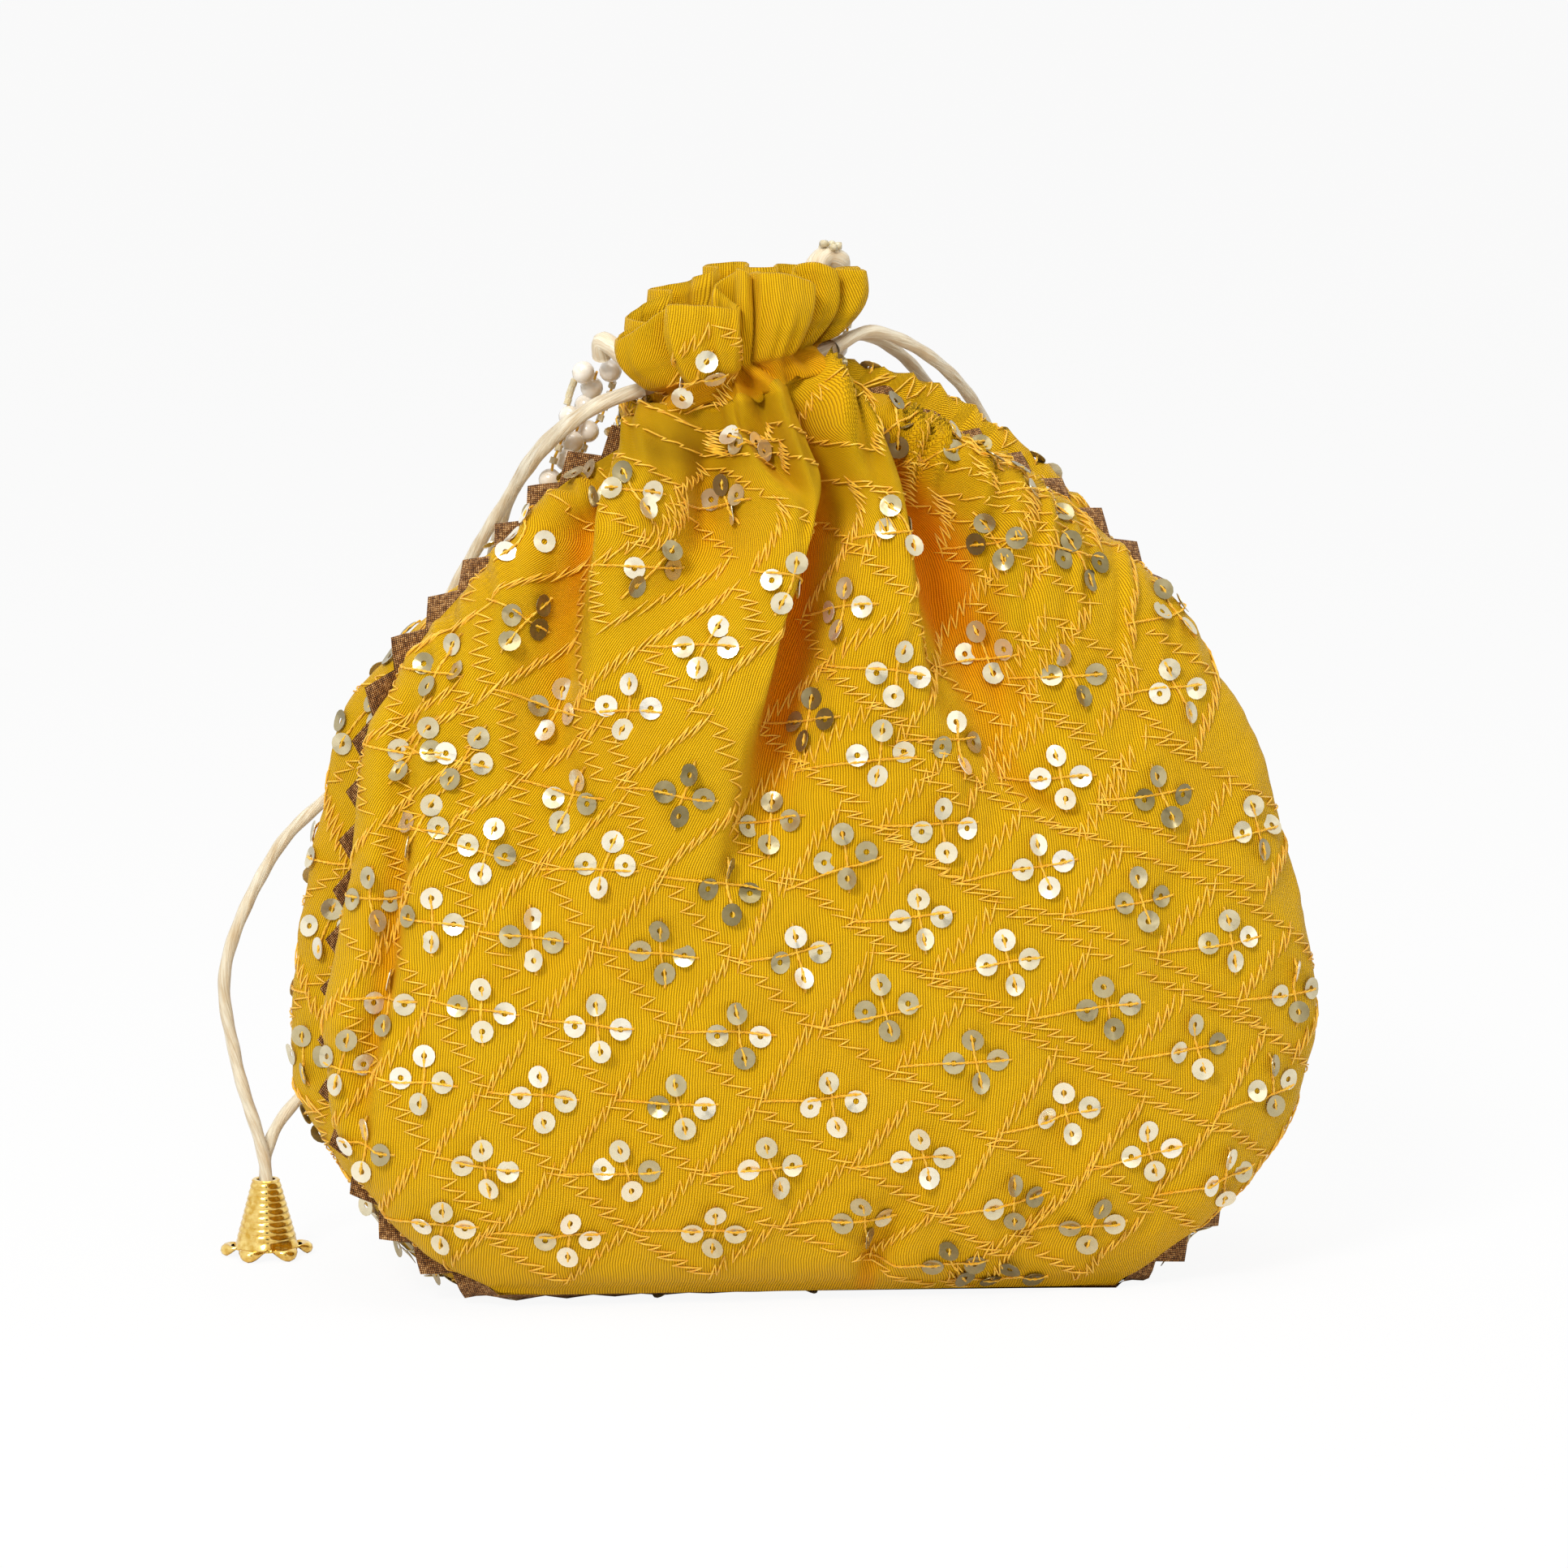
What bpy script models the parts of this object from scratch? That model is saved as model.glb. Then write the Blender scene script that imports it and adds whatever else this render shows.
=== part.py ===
"""A potli: a stuffed drawstring pouch of two cloth panels, with a pointed ribbon trim in its seam.

Metres, +Z up. The origin is on the flat of the base, and the front of the bag faces -Y.
"""

import math

import bpy
from mathutils import Matrix, Vector

MM = 0.001

# The bag's body
BODY_WIDTH = 204 * MM
BODY_HEIGHT = 180 * MM
FRONT_BULGE = 40 * MM
BACK_BULGE = 38 * MM
SEAM_GROOVE = 7 * MM
LEFT_CORNER_LIFT = 2.2 * MM
CLOTH = 0.8 * MM
CLEARANCE = 0.3 * MM

# The gathered neck, the tunnel for the cords and the ruffle above it
NECK_WIDTH = 34.4 * MM
NECK_DEPTH = 31 * MM
NECK_SHIFT = -15 * MM
NECK_LEAN = math.radians(16)
TUNNEL_HEIGHT = 12 * MM
RUFFLE_HEIGHT = 9.5 * MM
RUFFLE_WIDTH = 51 * MM
RUFFLE_DROOP = 3 * MM
RUFFLE_DEPTH = 44 * MM
BODY_FOLD = 6.5 * MM
NECK_FOLD = 1.3 * MM
RUFFLE_FOLD = 3.6 * MM

# The pointed ribbon in the seam
RIBBON_THICKNESS = 0.4 * MM
POINT_PITCH = 10 * MM
POINT_HEIGHT = 5 * MM
RIBBON_BAND = 0.9 * MM
RIBBON_SEWN_IN = 2.4 * MM

# The drawstrings and the bells on their ends
CORD_DIAMETER = 2.6 * MM
CORD_RING = 20.8 * MM
KNOT_DIAMETER = 6.4 * MM
BELL_HEIGHT = 16.8 * MM
BELL_TOP = 7.3 * MM
BELL_WAIST = 11.6 * MM
BELL_SKIRT = 17.6 * MM
BELL_WALL = 0.5 * MM
BELL_RIBS = 8
BELL_PETALS = 6
LEFT_BELL_AT = Vector((-111.5 * MM, 30 * MM, 0))
RIGHT_BELL_AT = Vector((52 * MM, 62 * MM, 0))

# The beaded handle
PEARL = 4.7 * MM
SEED = 2.1 * MM
THREAD = 0.7 * MM
SEEDS_IN_A_RUN = 4
HANDLE_LOOP_DIAMETER = 3.2 * MM

# Mesh fineness
FRONT_COLUMNS = 34
BACK_COLUMNS = 20
CORD_SIDES = 2

HALF_SEAM = RIBBON_THICKNESS / 2 + 1.6 * CLEARANCE
HALF_EXIT = CORD_DIAMETER + 5 * CLEARANCE
SEAM_FOOT = 1.4 * MM
GROOVE_WIDTH = 0.045

# The body from the bottom seam up, as shares of its half width, height and bulges: the height, the cloth's reach to the
# left and right, its place between back (1) and front (-1), the front's bulge and height, the back's bulge and height,
# and how deep the seam lies in the groove between the panels, as a share of SEAM_GROOVE.
BODY = [
    (0.008, 0.667, 0.588, -0.60, 0.62, 0.008, -0.57, 0.008, 0.07),
    (0.018, 0.706, 0.637, -0.56, 0.75, 0.025, -0.43, 0.0075, 0.09),
    (0.038, 0.775, 0.696, -0.50, 0.84, 0.050, -0.26, -0.015, 0.14),
    (0.071, 0.853, 0.784, -0.45, 0.90, 0.082, 0.42, -0.02, 0.29),
    (0.110, 0.917, 0.873, -0.40, 0.96, 0.120, 0.74, 0.03, 0.46),
    (0.165, 0.980, 0.946, -0.35, 0.99, 0.170, 0.91, 0.098, 0.66),
    (0.230, 1.010, 1.000, -0.30, 1.00, 0.235, 0.98, 0.19, 0.86),
    (0.306, 1.015, 1.020, -0.25, 0.99, 0.306, 1.00, 0.285, 0.94),
    (0.393, 1.000, 1.010, -0.22, 0.95, 0.393, 0.98, 0.383, 1.00),
    (0.480, 0.980, 0.985, -0.20, 0.89, 0.480, 0.92, 0.475, 1.00),
    (0.568, 0.946, 0.936, -0.17, 0.82, 0.568, 0.85, 0.563, 0.89),
    (0.656, 0.912, 0.873, -0.15, 0.74, 0.656, 0.76, 0.65, 0.66),
    (0.727, 0.838, 0.794, -0.12, 0.68, 0.727, 0.69, 0.727, 0.40),
    (0.792, 0.730, 0.716, -0.10, 0.62, 0.792, 0.62, 0.792, 0.23),
    (0.852, 0.608, 0.598, -0.07, 0.56, 0.858, 0.56, 0.858, 0.11),
    (0.912, 0.515, 0.461, -0.04, 0.49, 0.920, 0.50, 0.92, 0.04),
]
# The neck and the ruffle: height above the neck's middle as shares of half the tunnel's height and, past it, of the
# ruffle's height, the share of the way from the neck's size to the ruffle's, and whether the seam is left open.
NECK = [(-1.0, 0.10, 0.0), (-0.68, 0.0, 1.0), (0.68, 0.0, 1.0), (1.0, 0.08, 0.0)]
RUFFLE = [(0.28, 0.55), (0.64, 0.90), (1.0, 1.0)]
SHOULDERS = len(BODY) - 1
WAIST = 9
NECK_MIDDLE = Vector((NECK_SHIFT, 0, BODY_HEIGHT + 8 * MM))

# The folds that the gathered neck throws down a panel, in millimetres: where each ridge (or valley, if its height is
# negative) lies across the bag and how wide it is at the waist, below the shoulders and at the neck, and its height.
FRONT_FOLDS = [
    ((-57, 9), (-52, 6), (-34, 2.5), -0.4),
    ((-43, 14), (-38, 10), (-27, 3.6), 0.8),
    ((-28, 13), (-17, 8), (-11, 4.4), 1.05),
    ((-20, 8), (-8, 4.8), (-6, 2.5), -1.3),
    ((19, 15), (12, 10), (2, 4.2), 1.15),
    ((46, 11), (27, 9), (11, 3.5), -1.1),
    ((66, 14), (54, 11), (17, 4.0), 0.45),
]
BACK_FOLDS = [
    ((-46, 12), (-32, 9), (-26, 4.0), 0.6),
    ((-2, 12), (-6, 8), (-14, 4.0), 0.5),
    ((38, 12), (24, 9), (-2, 4.0), 0.6),
]
# How strongly the folds stand at each station of the body.
FOLD_GROWTH = [0, 0, 0, 0, 0, 0, 0.02, 0.05, 0.12, 0.30, 0.58, 0.84, 1.0, 1.08, 1.05, 0.85]
RUFFLE_PLEATS = 4.5


def spline(rows, at):
    """The Catmull-Rom curve through rows of numbers, at a place counted in rows."""
    at = max(0.0, min(len(rows) - 1.0, at))
    k = min(int(at), len(rows) - 2)
    u = at - k
    p = [rows[max(0, min(len(rows) - 1, k + step))] for step in (-1, 0, 1, 2)]
    weights = (
        (-u + 2 * u * u - u**3) / 2,
        (2 - 5 * u * u + 3 * u**3) / 2,
        (u + 4 * u * u - 3 * u**3) / 2,
        (-u * u + u**3) / 2,
    )
    return [sum(w * row[i] for w, row in zip(weights, p)) for i in range(len(rows[0]))]


def smooth(x):
    x = max(0.0, min(1.0, x))
    return x * x * (3 - 2 * x)


def body_station(row):
    """One line of BODY in metres: left, right, seam Y, front and back as (Y, rise), fold, open seam, fullness, groove."""
    seam_z, left, right, seam_y, front, front_z, back, back_z, groove = row
    seam_y *= FRONT_BULGE
    height = seam_z * BODY_HEIGHT
    half = BODY_WIDTH / 2
    corner = max(0.0, 1 - seam_z / 0.16)
    return [
        -left * half, height + corner * LEFT_CORNER_LIFT, right * half, height, seam_y,
        -front * FRONT_BULGE, (front_z - seam_z) * BODY_HEIGHT,
        back * BACK_BULGE, (back_z - seam_z) * BODY_HEIGHT,
        0.0, 0.0, 0.72, groove * SEAM_GROOVE,
    ]


def neck_station(rise, spread, open_seam, fold):
    """A section across the leaning neck, rise above its middle, spread from the neck's size to the ruffle's."""
    half = (NECK_WIDTH + (RUFFLE_WIDTH - NECK_WIDTH) * spread) / 2
    deep = (NECK_DEPTH + (RUFFLE_DEPTH - NECK_DEPTH) * spread) / 2
    in_ruffle = max(0.0, rise - TUNNEL_HEIGHT / 2)
    droop = RUFFLE_DROOP * in_ruffle / RUFFLE_HEIGHT
    middle_x = NECK_MIDDLE.x - (rise - in_ruffle) * math.sin(NECK_LEAN)
    middle_z = NECK_MIDDLE.z + rise * math.cos(NECK_LEAN)
    across, up = half * math.cos(NECK_LEAN), half * math.sin(NECK_LEAN)
    return [
        middle_x - across, middle_z - up - droop, middle_x + across, middle_z + up - droop, 0.0,
        -deep, droop, deep, droop,
        fold, open_seam * (HALF_EXIT - HALF_SEAM), 1.0, 0.0,
    ]


def all_stations():
    found = [body_station(row) for row in BODY]
    for station, growth in zip(found, FOLD_GROWTH):
        station[9] = growth * BODY_FOLD
    for rise, spread, open_seam in NECK:
        found.append(neck_station(rise * TUNNEL_HEIGHT / 2, spread, open_seam, NECK_FOLD))
    for rise, spread in RUFFLE:
        fold = NECK_FOLD + (RUFFLE_FOLD - NECK_FOLD) * spread
        found.append(neck_station(TUNNEL_HEIGHT / 2 + rise * RUFFLE_HEIGHT, spread, 0.0, fold))
    return found


STATIONS = all_stations()
FIRST_NECK = len(BODY)
FIRST_RUFFLE = len(BODY) + len(NECK)
TOP = len(STATIONS) - 1


def fold_wave(folds, x, across, at):
    """How far the cloth rises or falls there, as a share of its fold height."""
    if at > FIRST_RUFFLE - 1:
        return math.tanh(2.2 * math.cos(2 * math.pi * RUFFLE_PLEATS * across))
    place = max(0.0, 2 * (at - WAIST) / (FIRST_NECK - WAIST))
    total = -0.15
    for fold in folds:
        middle, width = spline(fold[:3], place)
        total += fold[3] * math.exp(-(((x / MM - middle) / width) ** 2))
    return total


def cloth_point(front, across, at):
    """A point of the cloth's outer face: across from the left seam (0) to the right (1), at a height in stations."""
    s = spline(STATIONS, at)
    left_x, left_z, right_x, right_z, seam_y = s[:5]
    reach, rise = (s[5], s[6]) if front else (s[7], s[8])
    fold, open_seam, fullness, groove = s[9:]
    turn = math.cos(math.pi * across)
    share = (1 - turn * (1 + (1 - fullness) * (1 - turn * turn) / 2)) / 2
    belly = max(0.0, math.sin(math.pi * across)) ** max(0.5, fullness)
    side = -1 if front else 1
    x = left_x + (right_x - left_x) * share
    x += groove * (math.exp(-((across / GROOVE_WIDTH) ** 2)) - math.exp(-(((1 - across) / GROOVE_WIDTH) ** 2)))
    z = max(0.0, left_z + (right_z - left_z) * share + rise * belly)
    half_gap = HALF_SEAM + max(0.0, open_seam)
    start = seam_y + side * half_gap
    y = start + (reach - start) * belly
    out = Vector((x - (left_x + right_x) / 2, y - seam_y))
    out.normalize()
    window = min(1.0, math.sin(math.pi * across) / 0.3)
    wave = fold_wave(FRONT_FOLDS if front else BACK_FOLDS, x, across, at)
    out *= fold * wave * window
    return Vector((x + out.x, y + out.y, z))


def cloth_normal(front, across, at):
    """The outward direction there, from the cloth's own slopes."""
    step = 0.004
    low, high = max(0.0, across - step), min(1.0, across + step)
    along = cloth_point(front, high, at) - cloth_point(front, low, at)
    below, above = max(0.0, at - 0.1), min(float(TOP), at + 0.1)
    up = cloth_point(front, across, above) - cloth_point(front, across, below)
    normal = along.cross(up) if front else up.cross(along)
    return normal.normalized()


def material(name, colour, roughness, metallic=0.0):
    made = bpy.data.materials.new(name)
    made.use_nodes = True
    shader = made.node_tree.nodes["Principled BSDF"]
    shader.inputs["Base Color"].default_value = (*colour, 1)
    shader.inputs["Roughness"].default_value = roughness
    shader.inputs["Metallic"].default_value = metallic
    return made


def add_mesh(name, points, faces, finish, smooth_below=40):
    mesh = bpy.data.meshes.new(name)
    mesh.from_pydata([tuple(p) for p in points], [], faces)
    mesh.validate()
    mesh.materials.append(finish)
    mesh.shade_smooth()
    mesh.set_sharp_from_angle(angle=math.radians(smooth_below))
    made = bpy.data.objects.new(name, mesh)
    bpy.context.scene.collection.objects.link(made)
    return made


def shell(outer, inner, flip):
    """Points and faces of a closed wall between two grids of the same shape, given as rows of points."""
    rows, columns = len(outer), len(outer[0])
    points = [p for grid in (outer, inner) for row in grid for p in row]
    layer = rows * columns
    faces = []
    for r in range(rows - 1):
        for c in range(columns - 1):
            a = r * columns + c
            quad = [a, a + 1, a + 1 + columns, a + columns]
            faces.append(quad)
            faces.append([layer + i for i in reversed(quad)])
    rim = [(0, c) for c in range(columns)] + [(r, columns - 1) for r in range(1, rows)]
    rim += [(rows - 1, c) for c in range(columns - 2, -1, -1)] + [(r, 0) for r in range(rows - 2, 0, -1)]
    rim = [r * columns + c for r, c in rim]
    for a, b in zip(rim, rim[1:] + rim[:1]):
        faces.append([b, a, layer + a, layer + b])
    return points, [list(reversed(f)) for f in faces] if flip else faces


def row_places():
    """The heights, in stations, of the panels' rows of points."""
    return [float(k) for k in range(TOP + 1)]


def panel(name, front, columns, finish):
    places = row_places()
    outer, inner = [], []
    for at in places:
        acrosses = [c / columns for c in range(columns + 1)]
        outer.append([cloth_point(front, a, at) for a in acrosses])
        inner.append([p - CLOTH * cloth_normal(front, a, at) for a, p in zip(acrosses, outer[-1])])
        left_edge, right_edge = outer[-1][0].y, outer[-1][-1].y
        for a, p in zip(acrosses, inner[-1]):
            edge = left_edge + (right_edge - left_edge) * (1 - math.cos(math.pi * a)) / 2
            p.y = min(p.y, edge) if front else max(p.y, edge)
    return add_mesh(name, *shell(outer, inner, not front), finish)


def turned(name, profile, sides, finish, shift=None):
    """A closed body turned about Z: profile is a closed loop of (radius, height), outside top to bottom, then inside up."""
    points, faces = [], []
    for k in range(sides):
        angle = 2 * math.pi * k / sides
        for i, (radius, height) in enumerate(profile):
            r, z = shift(i, angle, radius, height) if shift else (radius, height)
            points.append(Vector((r * math.cos(angle), r * math.sin(angle), z)))
    count = len(profile)
    for k in range(sides):
        n = (k + 1) % sides
        for i in range(count):
            j = (i + 1) % count
            faces.append([k * count + i, k * count + j, n * count + j, n * count + i])
    return add_mesh(name, points, faces, finish)


def casing_band(finish):
    """The turned-in hem that closes the tunnel on the inside, flaring out to the panels above and below the cords."""
    band = CORD_RING / 2 - CORD_DIAMETER / 2 - 3 * CLEARANCE
    lip = NECK_DEPTH / 2 - NECK_FOLD * 0.75 - CLOTH - 2 * CLEARANCE
    straight = CORD_DIAMETER + 2 * CLEARANCE
    top = TUNNEL_HEIGHT / 2 + CLEARANCE
    outside = [(lip, top), (band, straight), (band, -straight), (lip, -top)]
    inside = [(lip - CLOTH, -top - CLOTH / 2), (band - CLOTH, -straight), (band - CLOTH, straight)]
    inside.append((lip - CLOTH, top + CLOTH / 2))
    made = turned("casing_band", outside + inside, 20, finish)
    place = Matrix.Translation(NECK_MIDDLE) @ Matrix.Rotation(-NECK_LEAN, 4, "Y")
    made.data.transform(place)
    return made


def seam_line(at, right):
    """The seam on one side, midway between the panels, at a height in stations."""
    row = min(int(at), TOP - 1)
    s = [low + (high - low) * (at - row) for low, high in zip(STATIONS[row], STATIONS[row + 1])]
    return Vector((s[2] - s[12], s[4], s[3])) if right else Vector((s[0] + s[12], s[4], s[1]))


def seam_route():
    """The seam from the neck's left side down, along the base and up to the neck's right side, as even steps."""
    steps = 12
    last = (FIRST_NECK - 0.15) * steps
    left = [seam_line(k / steps, False) for k in range(int(last), -1, -1)]
    right = [seam_line(k / steps, True) for k in range(int(last) + 1)]
    base = [(cloth_point(True, k / 60, 0) + cloth_point(False, k / 60, 0)) / 2 for k in range(1, 60)]
    base = [left[-1], *base, right[0]]
    step = POINT_PITCH / 2
    return even(left, step)[:-1] + even(base, step) + even(right, step)[1:]


def even(points, step):
    """The same line with points about step apart."""
    lengths = [0.0]
    for a, b in zip(points, points[1:]):
        lengths.append(lengths[-1] + (b - a).length)
    count = 2 * round(lengths[-1] / step / 2)
    found, k = [], 0
    for i in range(count + 1):
        at = lengths[-1] * i / count
        while k < len(points) - 2 and lengths[k + 1] < at:
            k += 1
        share = (at - lengths[k]) / max(lengths[k + 1] - lengths[k], 1e-9)
        found.append(points[k].lerp(points[k + 1], share))
    return found


def ribbon_trim(finish):
    """The folded ribbon: a band in the seam with right-angled points, lying flat where the bag stands on it."""
    line = seam_route()
    low = RIBBON_THICKNESS / 2 + 0.2 * MM
    points = []
    for k, here in enumerate(line):
        along = (line[min(k + 1, len(line) - 1)] - line[max(k - 1, 0)]).normalized()
        out = Vector((0, 1, 0)).cross(along).normalized()
        room = max(out.z, (low - here.z) / POINT_HEIGHT)
        tuck = smooth(math.sqrt(max(0.0, 1 - out.x**2 - room**2)) / 0.8)
        held = smooth((here.z - 3 * SEAM_FOOT) / (4 * SEAM_FOOT))
        middle = here + out * (tuck * (SEAM_FOOT - low) + (1 - tuck) * (1 - held) * 2 * CLEARANCE)
        middle.z = max(middle.z, low)
        sink = max(out.z, (low - middle.z) / POINT_HEIGHT)
        lying = Vector((out.x, math.sqrt(max(0.0, 1 - out.x**2 - sink**2)), sink)).normalized()
        reach = POINT_HEIGHT if k % 2 else RIBBON_BAND
        sewn_in = 0.2 * MM + RIBBON_SEWN_IN * held + 1.1 * MM * smooth((tuck - 0.9) / 0.1)
        thick = along.cross(lying).normalized() * RIBBON_THICKNESS / 2
        inner, outer = middle - lying * sewn_in, middle + lying * reach
        points.append((inner - thick, outer - thick, outer + thick, inner + thick))
    flat = [p for four in points for p in four]
    faces = [[3, 2, 1, 0], [len(flat) - 4 + i for i in range(4)]]
    for k in range(len(points) - 1):
        for i in range(4):
            j = (i + 1) % 4
            faces.append([4 * k + j, 4 * k + 4 + j, 4 * k + 4 + i, 4 * k + i])
    return add_mesh("ribbon_trim", flat, faces, finish, 20)


def smooth_route(route, step):
    """Points on the smooth curve through a route's own points: a step apart at most, and closer where it bends."""
    rows = [tuple(p) for p in route]
    fine = [Vector(spline(rows, k / 24)) for k in range(24 * (len(rows) - 1) + 1)]
    found, gone = [fine[0]], 0.0
    heading = fine[1] - fine[0]
    for before, here in zip(fine, fine[1:]):
        gone += (here - before).length
        if gone > step or (gone > step / 4 and (here - before).angle(heading) > math.radians(22)):
            found.append(here)
            gone, heading = 0.0, here - before
    if gone < step / 4:
        found.pop()
    return [*found, fine[-1]]


def cord(name, route, diameter, finish):
    """A round cord along the smooth curve through the route's points."""
    curve = bpy.data.curves.new(name, "CURVE")
    curve.dimensions = "3D"
    curve.bevel_depth = diameter / 2
    curve.bevel_resolution = CORD_SIDES
    curve.use_fill_caps = True
    line = smooth_route(route, 3 * diameter)
    poly = curve.splines.new("POLY")
    poly.points.add(len(line) - 1)
    for point, place in zip(poly.points, line):
        point.co = (*place, 1)
    curve.materials.append(finish)
    made = bpy.data.objects.new(name, curve)
    bpy.context.scene.collection.objects.link(made)
    return made


def in_neck(a, b, c):
    """A point given across, behind and above the leaning neck's middle."""
    turn = Matrix.Rotation(-NECK_LEAN, 3, "Y")
    return NECK_MIDDLE + turn @ Vector((a, b, c))


def tunnel_turn(side, level):
    """A drawstring's route from its exit on one side (-1 left, 1 right), round the tunnel and out beside itself."""
    radius = CORD_RING / 2
    beside = CORD_DIAMETER / 2 + CLEARANCE / 2
    entry = [(20.0 * MM, beside), (16.0 * MM, beside + 0.2 * MM), (12.6 * MM, 3.4 * MM)]
    turn = [math.radians(40 + 28 * k) for k in range(11)]
    ring = [(radius * math.cos(a), radius * math.sin(a)) for a in turn]
    flat = entry + ring + [(x, -y) for x, y in reversed(entry)]
    return [in_neck(side * x, y, level) for x, y in flat]


def bell(name, place, finish):
    """A ribbed metal cone with a flared mouth of petals whose tips curl outwards."""
    top, waist, skirt = BELL_TOP / 2, BELL_WAIST / 2, BELL_SKIRT / 2
    cone_foot = 0.27 * BELL_HEIGHT
    outside = []
    steps = 2 * BELL_RIBS
    for k in range(steps + 1):
        share = k / steps
        radius = top + (waist - top) * share**1.15
        outside.append((radius + (0.22 * MM if k % 2 else 0.0), BELL_HEIGHT + (cone_foot - BELL_HEIGHT) * share))
    flare = [(waist + (skirt - waist) * 0.45, 0.12 * BELL_HEIGHT), (skirt, 0.03 * BELL_HEIGHT)]
    inside = [(skirt, 0.03 * BELL_HEIGHT + BELL_WALL * 0.9), (flare[0][0], flare[0][1] + BELL_WALL)]
    inside = [(r - BELL_WALL * 0.55, z - BELL_WALL * 1.3) for r, z in inside]
    inside += [(waist - BELL_WALL, cone_foot - BELL_WALL), (top - BELL_WALL, BELL_HEIGHT)]
    profile = outside + flare + inside
    mouth = {len(outside), len(outside) + 1, len(outside) + 2, len(outside) + 3}
    tips = {len(outside) + 1, len(outside) + 2}

    def petals(i, angle, radius, height):
        if i not in mouth:
            return radius, height
        wave = math.cos(BELL_PETALS * angle)
        share = 1.0 if i in tips else 0.35
        return radius + share * wave * 1.1 * MM, height + share * (0.9 - 0.9 * wave) * MM

    made = turned(name, profile, 2 * BELL_PETALS, finish, petals)
    lowest = min(v.co.z for v in made.data.vertices)
    made.data.transform(Matrix.Translation(Vector((0, 0, -lowest))))
    made.location = place
    return made


def knot(name, place, finish):
    """The lump of knotted cord that holds the bell on, under its top hole."""
    mesh = bpy.data.meshes.new(name)
    made = bpy.data.objects.new(name, mesh)
    bpy.context.scene.collection.objects.link(made)
    radius = KNOT_DIAMETER / 2
    rings, sides = 5, 8
    points = [Vector((0, 0, radius * 0.8))]
    for r in range(1, rings):
        polar = math.pi * r / rings
        for s in range(sides):
            angle = 2 * math.pi * s / sides
            points.append(Vector((math.sin(polar) * math.cos(angle), math.sin(polar) * math.sin(angle), 0)) * radius)
            points[-1].z = 0.8 * radius * math.cos(polar)
    points.append(Vector((0, 0, -radius * 0.8)))
    last = len(points) - 1
    faces = [[0, 1 + s, 1 + (s + 1) % sides] for s in range(sides)]
    for r in range(rings - 2):
        for s in range(sides):
            a, b = 1 + r * sides + s, 1 + r * sides + (s + 1) % sides
            faces.append([a, a + sides, b + sides, b])
    base = 1 + (rings - 2) * sides
    faces += [[last, base + (s + 1) % sides, base + s] for s in range(sides)]
    mesh.from_pydata([tuple(p) for p in points], [], faces)
    mesh.materials.append(finish)
    mesh.shade_smooth()
    made.location = place
    return made


def knot_height():
    return BELL_HEIGHT - BELL_WAIST * 0.62 - CORD_DIAMETER


# The cords' free strands, from the neck to the bell, as points chosen along the cloth and through the air.
LEFT_FRONT_STRAND = [
    (-45, -1, 180), (-54, 7, 171.5), (-61, 17, 160), (-69, 25, 145), (-77, 29, 129), (-85, 31, 114), (-93, 32, 101),
    (-108, 33, 86), (-119, 33, 62), (-117.4, 32, 42), (-112.8, 29.6, 25),
]
LEFT_BACK_STRAND = [
    (-44.5, 4.5, 180.2), (-54.5, 13, 171), (-60.5, 23, 158), (-64.5, 31, 138), (-69, 36, 112), (-78, 38.6, 84),
    (-88, 40, 58), (-99, 38.4, 38), (-108, 34, 28), (-111.1, 31.5, 22),
]
RIGHT_FRONT_STRAND = [
    (13, 2, 195), (26, 9, 189), (37, 18, 178), (44, 25, 162), (48, 32, 136), (50, 39, 106),
    (51, 44, 76), (52, 49, 50), (52.2, 56, 30), (52, 60.8, 22),
]
RIGHT_BACK_STRAND = [
    (12, 6, 194), (23, 15, 187), (32, 24, 174), (37, 30, 158), (40, 36, 132), (43, 42, 104),
    (45, 47, 76), (47, 54, 50), (50, 61, 32), (52, 63.2, 22),
]


def drawstring(name, side, level, strands, bell_at, finish):
    """One cord with both ends in a bell and its middle drawn round the neck."""
    beside = CORD_DIAMETER / 2 + CLEARANCE / 2
    foot = knot_height() + KNOT_DIAMETER * 0.42 + CLEARANCE
    ends = [bell_at + Vector((0, way * beside, foot)) for way in (-1, 1)]
    necks = [bell_at + Vector((0, way * beside, BELL_HEIGHT + 1 * MM)) for way in (-1, 1)]
    first, second = ([Vector(p) * MM for p in strand] for strand in strands)
    turn = tunnel_turn(side, level)
    if turn[0].y > turn[-1].y:
        turn.reverse()
    route = [ends[0], necks[0], *reversed(first), *turn, *second, necks[1], ends[1]]
    return cord(name, route, CORD_DIAMETER, finish)


def bead_string(name, beads, line, side, finish):
    """Beads threaded one after another: a tube that swells at each. Beads are (length, radius, how far aside)."""
    sides = 5
    thread = THREAD / 2
    rings, at = [(0.0, thread, beads[0][2])], 0.0
    for length, radius, aside in beads:
        if radius > SEED:
            rings += [(at + share * length, radius, aside) for share in (0.32, 0.68)]
        elif radius > thread:
            rings.append((at + 0.5 * length, radius, aside))
        at += length
        rings.append((at, thread, aside))
    points, faces = [], []
    for place, radius, aside in rings:
        here, along, flat = line(place / at)
        across = flat.cross(along).normalized()
        for s in range(sides):
            angle = 2 * math.pi * (s + 0.5) / sides
            turn = math.cos(angle) * across + math.sin(angle) * flat
            points.append(here + side * aside * across + radius * turn)
    for r in range(len(rings) - 1):
        for s in range(sides):
            a, b = r * sides + s, r * sides + (s + 1) % sides
            faces.append([a, b, b + sides, a + sides])
    faces.append(list(reversed(range(sides))))
    faces.append([len(points) - sides + s for s in range(sides)])
    return add_mesh(name, points, faces, finish, 60)


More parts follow.
